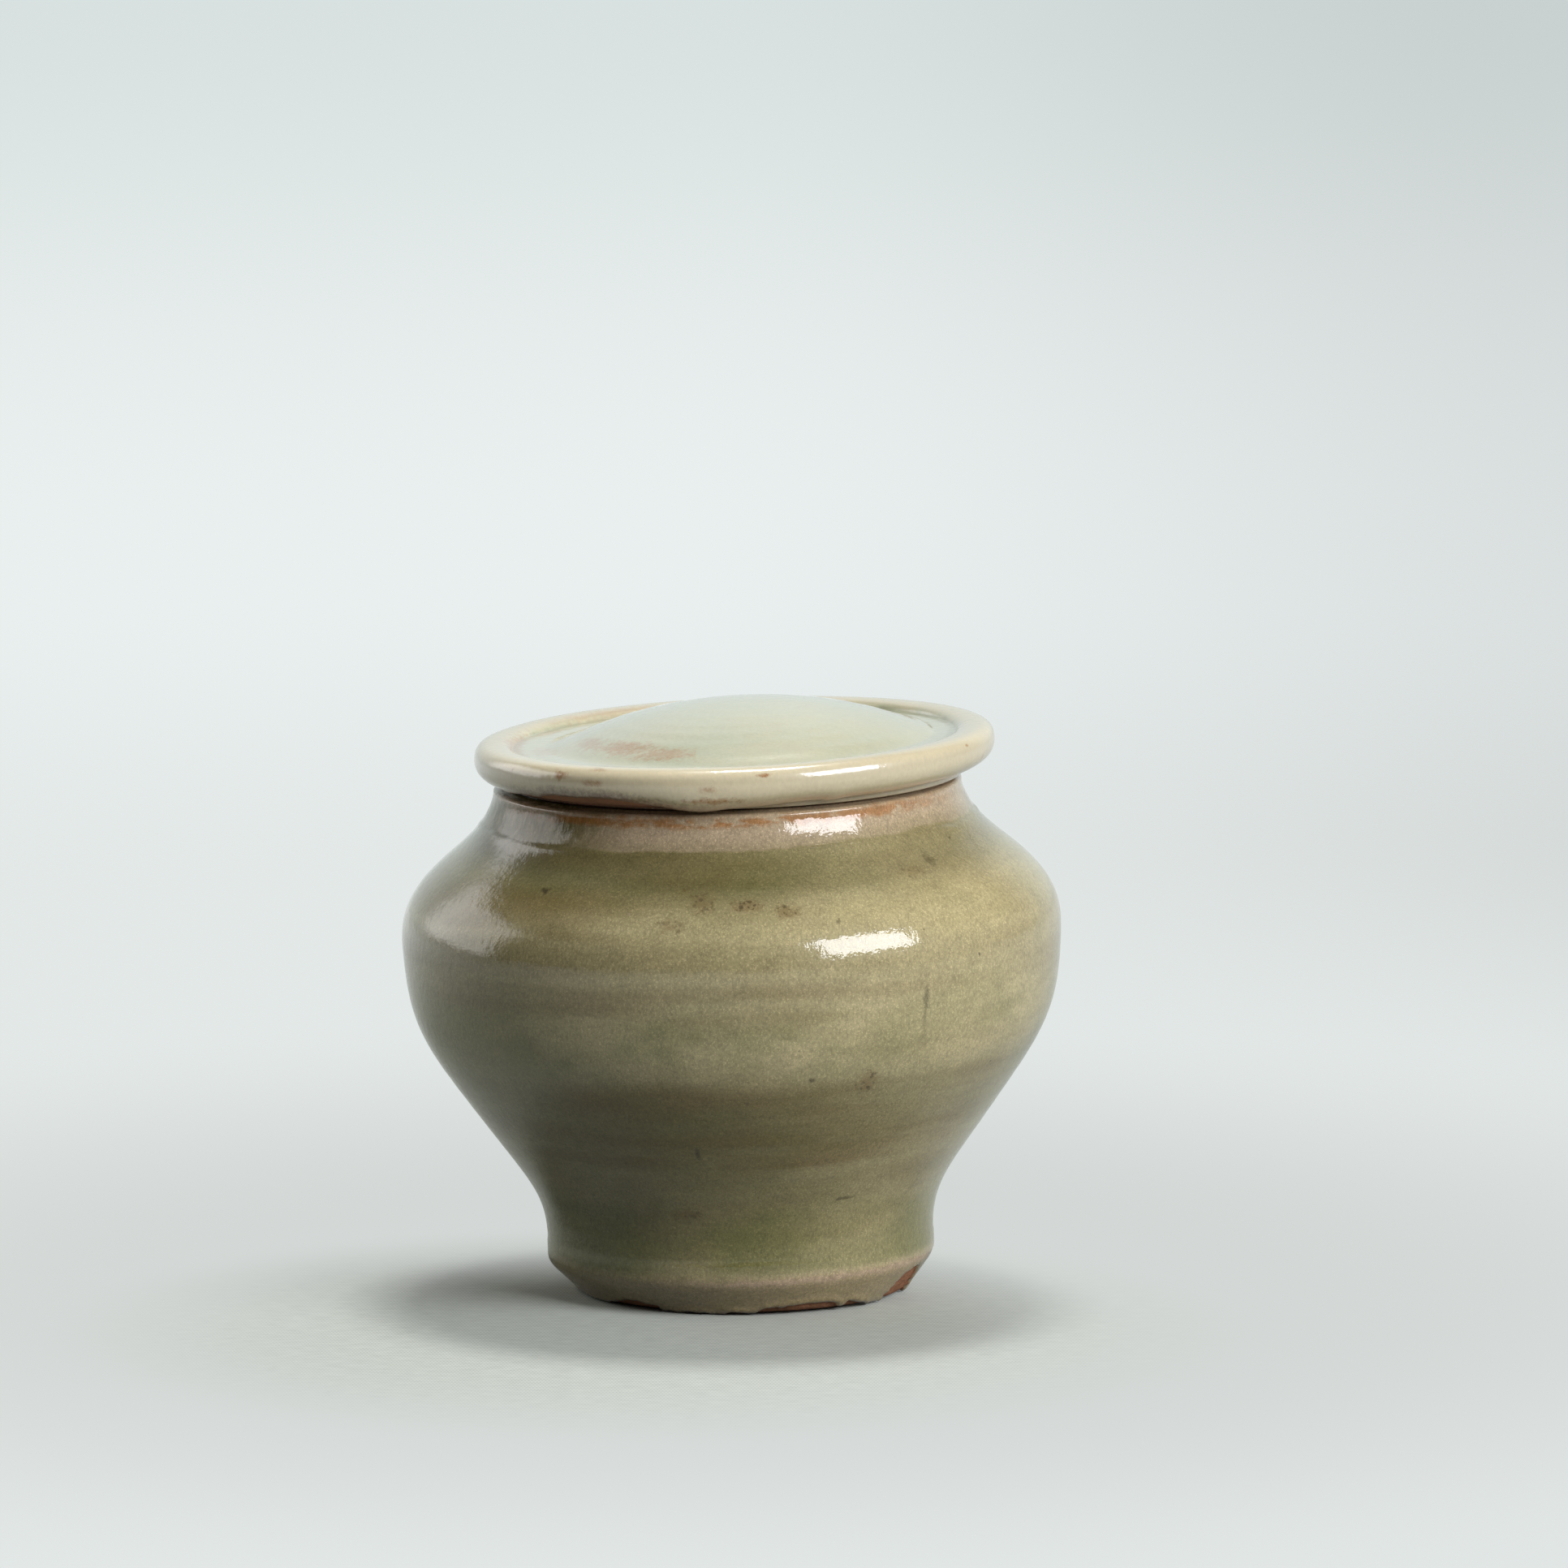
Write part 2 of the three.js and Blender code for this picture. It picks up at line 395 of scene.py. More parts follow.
# Shares of the chamfer's slope, from below, between which it is straight.
CHAMFER_STRAIGHT = (0.17, 4 / 5)

# Beads where the glaze ran over the foot's edge: bearing, half their width, drop in millimetres.
FOOT_BEADS = (
    (-27, 3.0, 0.9),
    (-9, 4.0, 0.6),
    (4, 2.5, 0.5),
    (36, 2.2, 0.9),
    (53, 4.5, 1.5),
    (118, 3.5, 1.0),
    (-72, 4.0, 0.8),
    (-165, 5.0, 1.2),
)


def foot_top(jar):
    return jar.chamfer_height + jar.foot_wall_height


def lip_middle(jar):
    return at(jar.lip_radius - jar.wall_at_lip / 2, jar.lip_height + jar.lip_rise)


def under_belly(jar):
    return (
        at(jar.foot_radius, foot_top(jar)),
        at(jar.foot_radius, foot_top(jar) + jar.flare_fullness),
        at(BELLY_RADIUS, jar.belly_height - jar.under_belly_fullness),
        at(BELLY_RADIUS, jar.belly_height),
    )


def shoulder(jar):
    return (
        at(BELLY_RADIUS, jar.belly_height),
        at(BELLY_RADIUS, jar.belly_height + jar.shoulder_fullness),
        at(jar.neck_radius + jar.neck_fullness * math.sin(jar.neck_angle),
           jar.neck_height - jar.neck_fullness * math.cos(jar.neck_angle)),
        at(jar.neck_radius, jar.neck_height),
    )


def neck(jar):
    """It leaves the shoulder in line with it and ends upright at the lip."""
    corner_height = jar.neck_height + (jar.neck_radius - jar.lip_radius) / math.tan(jar.neck_angle)
    return (
        at(jar.neck_radius, jar.neck_height),
        at(jar.lip_radius, corner_height),
        at(jar.lip_radius, jar.lip_height),
    )


def jar_outside(jar):
    """From the middle of the foot's recess to the top of the lip."""
    ring_outside = jar.foot_radius - jar.chamfer_width
    ring_inside = ring_outside - jar.ring_width
    recess_edge = at(ring_inside - jar.recess_depth / 2, jar.recess_depth)
    ring_edge = at(ring_inside, 0)
    ring_rim = at(ring_outside, 0)
    wall_foot = at(jar.foot_radius, jar.chamfer_height)
    wall_start = at(jar.foot_radius, jar.chamfer_height + jar.edge_round)
    bottom_end = ring_rim - at(jar.edge_round * RING_ROUNDING, 0)
    chamfer_low, chamfer_high = (ring_rim.lerp(wall_foot, share) for share in CHAMFER_STRAIGHT)
    lip_edge = at(jar.lip_radius, jar.lip_height)
    lip_top = lip_middle(jar)
    return [
        *straight(at(0, jar.recess_depth), recess_edge, 1.6),
        *straight(recess_edge, ring_edge, 0.6),
        *straight(ring_edge, bottom_end, 0.8),
        *rounded(bottom_end, ring_rim, chamfer_low, 0.25),
        *straight(chamfer_low, chamfer_high, 0.27),
        *rounded(chamfer_high, wall_foot, wall_start, 0.25),
        *straight(wall_start, under_belly(jar)[0], 0.5),
        *curve(*under_belly(jar), 0.75),
        *curve(*shoulder(jar), 0.6),
        *rounded(*neck(jar), 0.22),
        *rounded(lip_edge, at(jar.lip_radius, lip_top.z), lip_top, 0.3),
    ]


def jar_inside(jar):
    """From the top of the lip down to the middle of the floor, the clay's thickness inside."""
    mouth_radius = jar.lip_radius - jar.wall_at_lip
    lip_top = lip_middle(jar)
    mouth_edge = at(mouth_radius, lip_top.z - jar.edge_round)
    floor_height = jar.recess_depth + jar.floor_thickness
    outline = [
        *curve(*under_belly(jar), 1.4),
        *curve(*shoulder(jar), 1.4),
        *rounded(*neck(jar), 1.0),
    ]
    wall = []
    for i in range(len(outline) - 1, 0, -1):
        along = (outline[i] - outline[i - 1]).normalized()
        share = i / len(outline)
        thickness = jar.wall_at_foot + (jar.wall_at_lip - jar.wall_at_foot) * share
        point = outline[i] + at(-along.z, along.x) * thickness
        if point.z > floor_height + jar.floor_fillet / 2 and point.z < mouth_edge.z:
            wall.append(point)
    above, end = wall[-2:]
    slope = (above.x - end.x) / (above.z - end.z)
    corner = at(end.x - slope * (end.z - floor_height), floor_height)
    floor_edge = corner - at(jar.floor_fillet / 2, 0)
    return [
        *rounded(lip_top, at(mouth_radius, lip_top.z), mouth_edge, 0.3),
        mouth_edge,
        *wall[:-1],
        *rounded(end, corner, floor_edge, 1.2),
        *straight(floor_edge, at(0, floor_height), 1.6),
        at(0, floor_height),
    ]


def throwing_mark(jar, height):
    """How far the waves that the potter's fingers left stand out at a height."""
    fade = ease(height, foot_top(jar), foot_top(jar) + jar.throwing_pitch / 2)
    fade *= 1 - ease(height, jar.belly_height, jar.lip_height)
    turn = math.tau * (height - jar.throwing_crest) / jar.throwing_pitch
    return jar.throwing_wave * fade * (math.cos(turn) - WAVE_INWARDS)


def foot_glaze_line(bearing):
    """Height in millimetres where the glaze ends at the foot."""
    line = with_humps(wavy_line(bearing, *FOOT_EDGE), bearing, BARE_PATCHES)
    return line - with_humps(0.0, bearing, FOOT_BEADS)


def foot_coverage(jar, point):
    """Millimetres above the glaze's edge, and how thick its rolled edge is."""
    ring_outside = jar.foot_radius - jar.chamfer_width
    above = point.z / MM - foot_glaze_line(bearing_of(point))
    radius = math.hypot(point.x, point.y)
    if radius < ring_outside - jar.edge_round / 4:
        return ALL_BARE, 0.0
    roll = bell(above, *FOOT_ROLL) * ease(-point.z, -jar.chamfer_height, 0)
    return clamp(above, ALL_BARE, ALL_GLAZED), roll


def over_neck_line(jar, point):
    """Millimetres above the wavy line where the shoulder's thick glaze ends."""
    wave = wavy_line(bearing_of(point), *NECK_EDGE)
    return clamp((point.z - jar.neck_height) / MM + wave, ALL_BARE, ALL_GLAZED)


def wall_drift(jar, point):
    """How far the wall outside strays along its normal, nearly always inwards."""
    slow = noise.noise(point / SLOW_SIZE)
    stretched = Vector((point.x / BROAD_STRETCH, point.y / BROAD_STRETCH, point.z))
    broad = noise.noise(stretched / BROAD_SIZE)
    thread = winding(point.z, RIDGE_PITCH, bearing_of(point))
    ridge = jar.turning_ridge * thread * (0.5 + noise.noise(point / BREAK_SIZE))
    uneven = jar.unevenness * (SLOW_SHARE * slow + BROAD_SHARE * broad - 1.0)
    return uneven + ridge - jar.turning_ridge


def shape_jar(solid, jar):
    """Throwing marks, uneven walls, the glaze's edges at the foot and the neck, and the lean."""
    glaze = solid.verts.layers.float.new("glaze")
    neck_line = solid.verts.layers.float.new("neck")
    within = solid.verts.layers.float["inside"]
    foot_height = foot_top(jar)
    for vert in solid.verts:
        point = vert.co
        vert[glaze] = ALL_GLAZED
        above_neck = over_neck_line(jar, point)
        vert[neck_line] = above_neck
        if vert[within] > 0.5:
            thread = winding(point.z, GROOVE_PITCH, -bearing_of(point))
            depth = GROOVE_DEPTH * ease(point.z, foot_height + GROOVE_START, GROOVE_FULL)
            depth *= 1 - ease(point.z, *GROOVE_FADE)
            vert.co = point - vert.normal * depth * (1 + thread)
            continue
        move = wall_drift(jar, point)
        if point.z < foot_height:
            above, roll = foot_coverage(jar, point)
            vert[glaze] = above
            covered = ease(above, *FOOT_EDGE_SPREAD)
            move *= FOOT_CALM
            move += jar.glaze_thickness * (covered - 1 + FOOT_ROLL_SHARE * roll * covered)
            move += GRAIN_DEPTH * (1 - covered) * noise.noise(point / GRAIN_SIZE)
        if point.z > jar.belly_height:
            bead = bell(above_neck, *NECK_BEAD)
            move += jar.neck_step * (NECK_BEAD_SHARE * bead - ease(above_neck, *NECK_EDGE_SPREAD))
        if point.z < ON_FLOOR:
            move = min(0.0, move)
        radial = Vector((point.x, point.y, 0)).normalized()
        wave = throwing_mark(jar, point.z) if point.z > foot_height else 0.0
        vert.co = point + vert.normal * move + radial * wave
        vert.co.z = max(0.0, vert.co.z)
    for vert in solid.verts:
        vert.co = leaned(vert.co, jar)
    bmesh.ops.recalc_face_normals(solid, faces=solid.faces)


# The lid

# Where the glaze left the rim's lower edge bare: bearing, half its width, height in millimetres.
LID_BARE_PATCHES = (
    (-33, 17, 1.7),
    (-53, 15, 1.1),
    (64, 9, 0.3),
    (170, 30, 1.3),
    (110, 12, 0.6),
)

# The glaze's edge under the rim, in the values that the jar's edges are given in.
RIM_EDGE = (3, 0.45, ((8.0, 0.12), (20.0, 0.12)))
RIM_EDGE_SPREAD = (-0.18, 0.18)
RIM_ROLL = (0.4, 0.4)
RIM_ROLL_SHARE = 0.3

# The glaze reaches this far in under the rim, and is thin there, both in millimetres.
GLAZE_UNDER_RIM = 1.2
THIN_UNDER_RIM = 0.6

# Share of the rim's underside that the rounding beside the seat takes up.
UNDER_ROUNDING = 0.3

# Size of the rim's unevenness, and how far it lies inwards on the whole.
RIM_DRIFT_SIZE = 17 * MM
RIM_DRIFT_INWARDS = 0.8

# A drip bulges outwards by this share of its drop.
DRIP_BULGE = 0.25

# Rings that the tool left on the top: their pitch and depth, and the radii over which they come in.
RING_PITCH = 3.6 * MM
RING_DEPTH = 0.022 * MM
RING_START = (3 * MM, 8 * MM)

# The fold beside the foot of the dome: its place, width and height, then its bearing and half its spread.
FOLD_ACROSS = (-1.5 * MM, 1.1 * MM)
FOLD_HEIGHT = 0.3 * MM
FOLD_ROUND = (118, 42)

# Drips of glaze below the rim: bearing, half their width, drop in millimetres.
LID_DRIPS = (
    (-9.4, 9.0, 0.5),
    (-1.0, 18.0, 0.4),
    (24.0, 4.0, 0.2),
    (-142.0, 8.0, 0.5),
    (133.0, 7.0, 0.35),
)


def lid_radii(jar, lid):
    """The rim's widest radius, the recess's, and the flange's outside and inside."""
    rim = jar.lip_radius + lid.rim_overhang
    mouth = jar.lip_radius - jar.wall_at_lip
    flange = mouth - lid.flange_clearance - lid.shift
    return rim, rim - lid.rim_width, flange, flange - lid.flange_wall


def lid_hollow_edge(jar, lid):
    return lid.recess_height + jar.edge_round - lid.wall


def lid_section(jar, lid):
    """From the middle of the hollow round the flange, the seat and the rim to the dome's top."""
    rim, recess, flange, hollow = lid_radii(jar, lid)
    soft = jar.edge_round
    hollow_top = lid.dome_height - lid.wall
    hollow_edge = at(hollow, lid_hollow_edge(jar, lid))
    flange_low = at(hollow, soft - lid.flange_depth)
    flange_foot = at(hollow + lid.flange_wall / 2, -lid.flange_depth)
    flange_high = at(flange, soft - lid.flange_depth)
    seat_start = at(flange + soft / 2, 0)
    seat_end = at(jar.lip_radius - lid.seat_inset, 0)
    seat_round = seat_end - at(soft / 2, 0)
    under = at(rim - lid.rim_under_inset, lid.rim_under_height)
    under_start = seat_end.lerp(under, UNDER_ROUNDING)
    middle = at(rim, lid.rim_middle_height)
    crest = at(rim - lid.rim_top_inset, lid.rim_top_height)
    recess_edge = at(recess, lid.recess_height)
    recess_end = recess_edge - at(soft / 2, 0)
    dome_foot = at(recess - lid.recess_width, lid.recess_height)
    dome_side = at(lid.dome_fullness, lid.dome_height)
    top = at(0, lid.dome_height)
    hollow_part = [
        *curve(at(0, hollow_top), at(lid.dome_fullness, hollow_top),
               hollow_edge + at(0, soft), hollow_edge, 1.4),
        *straight(hollow_edge, flange_low, 1.0),
    ]
    outer_part = [
        *rounded(flange_low, at(hollow, -lid.flange_depth), flange_foot, 0.4),
        *rounded(flange_foot, at(flange, -lid.flange_depth), flange_high, 0.4),
        *straight(flange_high, at(flange, -soft / 2), 0.8),
        *rounded(at(flange, -soft / 2), at(flange, 0), seat_start, 0.2),
        *straight(seat_start, seat_round, 0.7),
        *rounded(seat_round, seat_end, under_start, 0.2),
        *straight(under_start, under, 0.3),
        *rounded(under, at(rim, lid.rim_under_height + lid.rim_under_rise), middle, 0.26),
        *rounded(middle, at(rim, lid.rim_top_height), crest, 0.3),
        *rounded(crest, at(recess + soft / 2, lid.rim_top_height), recess_edge, 0.3),
        *straight(recess_edge, recess_end, 0.25),
        *straight(recess_end, dome_foot, 0.6),
        *curve(dome_foot, dome_foot - at(lid.dome_fillet, 0), dome_side, top, 0.8),
        top,
    ]
    return outer_part, hollow_part


def warp_lid(point, jar, lid):
    """The rim and the dome warped in the kiln while the seat stayed flat."""
    _, recess, _, hollow = lid_radii(jar, lid)
    tilt = ease(point.z, 0, lid.rim_under_height) * point.x * math.tan(lid.warp)
    warped = point + Vector((0, 0, tilt))
    on_dome = 1 - ease(math.hypot(point.x, point.y), hollow, recess)
    warped.x += ease(warped.z, lid_hollow_edge(jar, lid), lid.recess_height) * on_dome * lid.dome_shift
    return warped


def lid_glaze_line(bearing):
    """Height in millimetres over the seat where the glaze ends under the rim."""
    return with_humps(wavy_line(bearing, *RIM_EDGE), bearing, LID_BARE_PATCHES)


def shape_lid(solid, jar, lid):
    """The uneven rim, the glaze's edge and drips, the tool's rings, the warp, and the place on the jar."""
    glaze = solid.verts.layers.float.new("glaze")
    within = solid.verts.layers.float["inside"]
    rim, recess, flange, _ = lid_radii(jar, lid)
    under_radius = rim - lid.rim_under_inset
    under_top = lid.rim_under_height * 1.01
    dome_foot = recess - lid.recess_width
    for vert in solid.verts:
        point = vert.co.copy()
        if vert[within] > 0.5:
            vert[glaze] = ALL_GLAZED
            continue
        radius = math.hypot(point.x, point.y)
        bearing = bearing_of(point)
        if radius < under_radius and point.z < under_top:
            inwards = (radius - under_radius) / MM
            vert[glaze] = clamp(inwards + GLAZE_UNDER_RIM, ALL_BARE, THIN_UNDER_RIM)
            continue
        above = ALL_GLAZED
        move = lid.unevenness * (noise.noise(point / RIM_DRIFT_SIZE) - RIM_DRIFT_INWARDS) / 2
        if point.z < lid.rim_middle_height and radius > under_radius:
            above = clamp(point.z / MM - lid_glaze_line(bearing), ALL_BARE, ALL_GLAZED)
            covered = ease(above, *RIM_EDGE_SPREAD)
            roll = bell(above, *RIM_ROLL)
            move += lid.glaze_thickness * (covered - 1 + RIM_ROLL_SHARE * roll * covered)
            low = 1 - ease(point.z, lid.rim_under_height, lid.rim_middle_height)
            hang = sum(drop * hump(bearing, middle, half) ** 2 for middle, half, drop in LID_DRIPS)
            point.z -= hang * MM * low
            point += Vector((point.x, point.y, 0)) / radius * DRIP_BULGE * MM * hang * low
        if radius < recess:
            thread = winding(radius, RING_PITCH, bearing)
            move += RING_DEPTH * (thread - 1) * ease(radius, *RING_START)
            fold = bell(radius - dome_foot, *FOLD_ACROSS)
            move += FOLD_HEIGHT * fold * hump(bearing, *FOLD_ROUND)
        vert[glaze] = above
        vert.co = point + vert.normal * move
    place = lid_place(jar, lid)
    turn = Matrix.Rotation(-jar.lean, 3, "Y")
    for vert in solid.verts:
        vert.co = turn @ warp_lid(vert.co, jar, lid) + place
    bmesh.ops.recalc_face_normals(solid, faces=solid.faces)


# Nodes

class Wiring:
    """Adds nodes to a tree, and joins or sets what they are given."""

    def __init__(self, tree):
        self.tree = tree

    def feed(self, socket, value):
        """Joins a socket to another, or sets it. A colour is given as its three parts."""
        if isinstance(value, NodeSocket):
            self.tree.links.new(value, socket)
        elif socket.type == "RGBA":
            socket.default_value = (*value, 1.0)
        else:
            socket.default_value = value

    def add(self, kind, values=None, **settings):
        made = self.tree.nodes.new(kind)
        made.location = (180 * (len(self.tree.nodes) % 12), -220 * (len(self.tree.nodes) // 12))
        for name, value in settings.items():
            setattr(made, name, value)
        for socket, value in (values or {}).items():
            self.feed(made.inputs[socket], value)
        return made

    def math(self, operation, first, second=0.0, clamped=False):
        values = {0: first, 1: second}
        return self.add("ShaderNodeMath", values, operation=operation, use_clamp=clamped).outputs[0]

    def ease(self, value, low, high):
        """Goes smoothly from 0 at low to 1 at high."""
        values = {"Value": value, "From Min": low, "From Max": high}
        ramp = self.add("ShaderNodeMapRange", values, interpolation_type="SMOOTHSTEP")
        return ramp.outputs["Result"]

    def fade(self, value, low, high):
        """Goes smoothly from 1 at low to 0 at high."""
        return self.math("SUBTRACT", 1.0, self.ease(value, low, high))

    def plus(self, first, second, clamped=False):
        return self.math("ADD", first, second, clamped)

    def times(self, first, second, clamped=False):
        return self.math("MULTIPLY", first, second, clamped)

    def less(self, mask, share):
        """1, less a share of a mask."""
        return self.math("SUBTRACT", 1.0, self.times(mask, share))

    def apart(self, first, second):
        """How far two values lie apart."""
        return self.math("ABSOLUTE", self.math("SUBTRACT", first, second))

    def mix(self, share, first, second):
        """A colour between two."""
        return self.add("ShaderNodeMix", {0: share, 6: first, 7: second}, data_type="RGBA").outputs[2]

    def shade(self, tone, level):
        """A colour made lighter or darker."""
        return self.add("ShaderNodeHueSaturation", {"Color": tone, "Value": level}).outputs[0]

    def blend(self, share, first, second):
        """A value between two."""
        return self.add("ShaderNodeMix", {0: share, 2: first, 3: second}).outputs[0]

    def noise(self, vector, scale, detail=2.0, roughness=0.5):
        values = {"Vector": vector, "Scale": scale, "Detail": detail, "Roughness": roughness}
        return self.add("ShaderNodeTexNoise", values).outputs["Fac"]

    def waver(self, vector, scale, detail, roughness):
        """A noise that strays to both sides of 0."""
        return self.math("SUBTRACT", self.noise(vector, scale, detail, roughness), 0.5)

    def stretch(self, vector, factors):
        values = {0: vector, 1: factors}
        return self.add("ShaderNodeVectorMath", values, operation="MULTIPLY").outputs[0]

    def drawn_noise(self, vector, factors, scale, detail, roughness):
        """A noise drawn out where a factor is under 1."""
        return self.noise(self.stretch(vector, factors), scale, detail, roughness)

    def measure(self, operation, first, second=(0, 0, 0)):
        """A number from vectors, such as a length."""
        values = {0: first, 1: second}
        return self.add("ShaderNodeVectorMath", values, operation=operation).outputs["Value"]

    def split(self, vector):
        return self.add("ShaderNodeSeparateXYZ", {0: vector}).outputs

    def profile(self, value, reach, stops):
        """A value that changes along a length, from stops of place and value."""
        share = self.math("DIVIDE", value, reach)
        ramp = self.add("ShaderNodeValToRGB", {"Fac": share})
        elements = ramp.color_ramp.elements
        elements.remove(elements[1])
        for i, (place, level) in enumerate(stops):
            element = elements[0] if i == 0 else elements.new(place / reach)
            element.position = place / reach
            element.color = (level, level, level, 1)
        return ramp.outputs["Color"]

    def attribute(self, name):
        return self.add("ShaderNodeAttribute", attribute_name=name).outputs["Fac"]


def new_group(name, inputs, outputs):
    """An empty node group, its wiring, and its input sockets by name."""
    group = bpy.data.node_groups.new(name, "ShaderNodeTree")
    for label, kind, default in inputs:
        socket = group.interface.new_socket(label, in_out="INPUT", socket_type=kind)
        if default is not None:
            socket.default_value = default
    for label, kind in outputs:
        group.interface.new_socket(label, in_out="OUTPUT", socket_type=kind)
    wiring = Wiring(group)
    entry = wiring.add("NodeGroupInput")
    leave = wiring.add("NodeGroupOutput")
    return group, wiring, entry.outputs, leave.inputs


FLOAT = "NodeSocketFloat"
VECTOR = "NodeSocketVector"
COLOUR = "NodeSocketColor"


def axis_group():
    """Bearing in degrees from the front, radius and height of a point in millimetres."""
    group, w, given, out = new_group(
        "Round the axis",
        [("Vector", VECTOR, None)],
        [("Bearing", FLOAT), ("Radius", FLOAT), ("Height", FLOAT)],
    )
    parts = w.split(given["Vector"])
    back = w.times(parts["Y"], -1.0)
    turn = w.math("ARCTAN2", parts["X"], back)
    w.feed(out["Bearing"], w.math("DEGREES", turn))
    flat = w.stretch(given["Vector"], (1, 1, 0))
    w.feed(out["Radius"], w.measure("LENGTH", flat))
    w.feed(out["Height"], parts["Z"])
    return group


def mottle_group():
    """Fine pale and dark grains in a glaze, the way bubbles and crystals break its colour up."""
    group, w, given, out = new_group(
        "Mottled glaze",
        [("Vector", VECTOR, None), ("Color", COLOUR, None), ("Strength", FLOAT, 0.2),
         ("Grain", FLOAT, 0.4), ("Crystals", FLOAT, 0.3)],
        [("Color", COLOUR)],
    )
    fine = w.math("DIVIDE", 1.0, given["Grain"])
    grains = w.noise(w.stretch(given["Vector"], (1.0, 1.0, 0.65)), fine, 2.0, 0.6)
    clouds = w.noise(given["Vector"], w.math("DIVIDE", fine, 7.0), 3.0, 0.6)
    both = w.plus(w.times(grains, 0.7), w.times(clouds, 0.3))
    centred = w.math("SUBTRACT", both, 0.5)
    level = w.plus(1.0, w.times(centred, w.times(given["Strength"], 4.0)))
    flecks = w.noise(given["Vector"], w.times(fine, 1.9), 1.0, 0.5)
    flecks = w.times(w.ease(flecks, 0.56, 0.7), given["Crystals"])
    level = w.plus(level, flecks)
    w.feed(out["Color"], w.shade(given["Color"], level))
    return group


def specks_group():
    """A mask of scattered round specks, none of them alike in size."""
    group, w, given, out = new_group(
        "Scattered specks",
        [("Vector", VECTOR, None), ("Spacing", FLOAT, 3.0), ("Size", FLOAT, 0.3),
         ("Share", FLOAT, 0.3)],
        [("Mask", FLOAT)],
    )
    scale = w.math("DIVIDE", 1.0, given["Spacing"])
    cells = w.add("ShaderNodeTexVoronoi", {"Vector": given["Vector"], "Scale": scale})
    chance = w.add("ShaderNodeSeparateColor", {0: cells.outputs["Color"]}).outputs
    size = w.math("DIVIDE", w.times(given["Size"], chance["Green"]), given["Spacing"])
    ragged = w.times(w.noise(given["Vector"], 4.0, 1.0), size)
    reach = w.plus(w.times(size, 0.5), ragged)
    near = w.math("DIVIDE", cells.outputs["Distance"], reach)
    spot = w.fade(near, 0.55, 1.0)
    present = w.math("LESS_THAN", chance["Red"], given["Share"])
    w.feed(out["Mask"], w.times(spot, present))
    return group


def stain_group():
    """A mask of one ragged stain at a bearing and at a height or radius."""
    group, w, given, out = new_group(
        "Stain",
        [("Vector", VECTOR, None), ("Bearing", FLOAT, 0.0), ("Along", FLOAT, 0.0),
         ("Middle bearing", FLOAT, 0.0), ("Middle", FLOAT, 0.0), ("Half width", FLOAT, 1.0),
         ("Half height", FLOAT, 1.0), ("Raggedness", FLOAT, 0.8), ("Broken", FLOAT, 0.75)],
        [("Mask", FLOAT)],
    )
    across = w.math("SUBTRACT", given["Bearing"], given["Middle bearing"])
    across = w.math("DIVIDE", across, given["Half width"])
    up = w.math("DIVIDE", w.math("SUBTRACT", given["Along"], given["Middle"]), given["Half height"])
    square = w.plus(w.times(across, across), w.times(up, up))
    away = w.math("SQRT", square)
    rough = w.waver(given["Vector"], 0.9, 4.0, 0.65)
    away = w.plus(away, w.times(rough, w.times(given["Raggedness"], 3.0)))
    solid = w.fade(away, 0.2, 1.1)
    grains = w.ease(w.noise(given["Vector"], 2.6, 2.0, 0.6), 0.5, 0.62)
    w.feed(out["Mask"], w.times(solid, w.blend(given["Broken"], 1.0, grains)))
    return group


def edge_group():
    """Where the glaze covers the clay, and the brown fringe along its edge."""
    group, w, given, out = new_group(
        "Glaze edge",
        [("Vector", VECTOR, None), ("Above", FLOAT, 1.0), ("Fringe", FLOAT, 1.0)],
        [("Covered", FLOAT), ("Edge", FLOAT)],
    )
    rough = w.waver(given["Vector"], 1.6, 3.0, 0.6)
    ragged = w.plus(given["Above"], w.times(rough, 0.5))
    w.feed(out["Covered"], w.ease(ragged, -0.12, 0.12))
    fringe = w.plus(ragged, w.times(rough, 1.4))
    w.feed(out["Edge"], w.fade(fringe, 0.1, given["Fringe"]))
    return group


def peel_group():
    """Slight orange peel and pinholes of a fired glaze, as a height."""
    group, w, given, out = new_group(
        "Orange peel",
        [("Vector", VECTOR, None), ("Size", FLOAT, 1.0)],
        [("Height", FLOAT)],
    )
    scale = w.math("DIVIDE", 1.0, given["Size"])
    broad = w.noise(given["Vector"], scale, 1.0, 0.4)
    fine = w.noise(given["Vector"], w.times(scale, 3.2), 1.0, 0.5)
    w.feed(out["Height"], w.plus(broad, w.times(fine, 0.36)))
    return group


def clay_group():
    """Bare fired clay with its grain: a colour and a height."""
    group, w, given, out = new_group(
        "Bare clay",
        [("Vector", VECTOR, None), ("Color", COLOUR, None)],
        [("Color", COLOUR), ("Height", FLOAT)],
    )
    grain = w.noise(given["Vector"], 2.2, 5.0, 0.7)
    patches = w.noise(given["Vector"], 0.25, 2.0, 0.5)
    both = w.plus(w.times(grain, 0.6), w.times(patches, 0.8))
    w.feed(out["Color"], w.shade(given["Color"], w.plus(both, 0.3)))
    w.feed(out["Height"], grain)
    return group


GROUP_MAKERS = {
    "Round the axis": axis_group,
    "Mottled glaze": mottle_group,
    "Scattered specks": specks_group,
    "Stain": stain_group,
    "Glaze edge": edge_group,
    "Orange peel": peel_group,
    "Bare clay": clay_group,
}


def effect(wiring, name, values):
    """The outputs of one shared node group, which is built the first time that it is needed."""
    group = bpy.data.node_groups.get(name) or GROUP_MAKERS[name]()
    return wiring.add("ShaderNodeGroup", values, node_tree=group).outputs


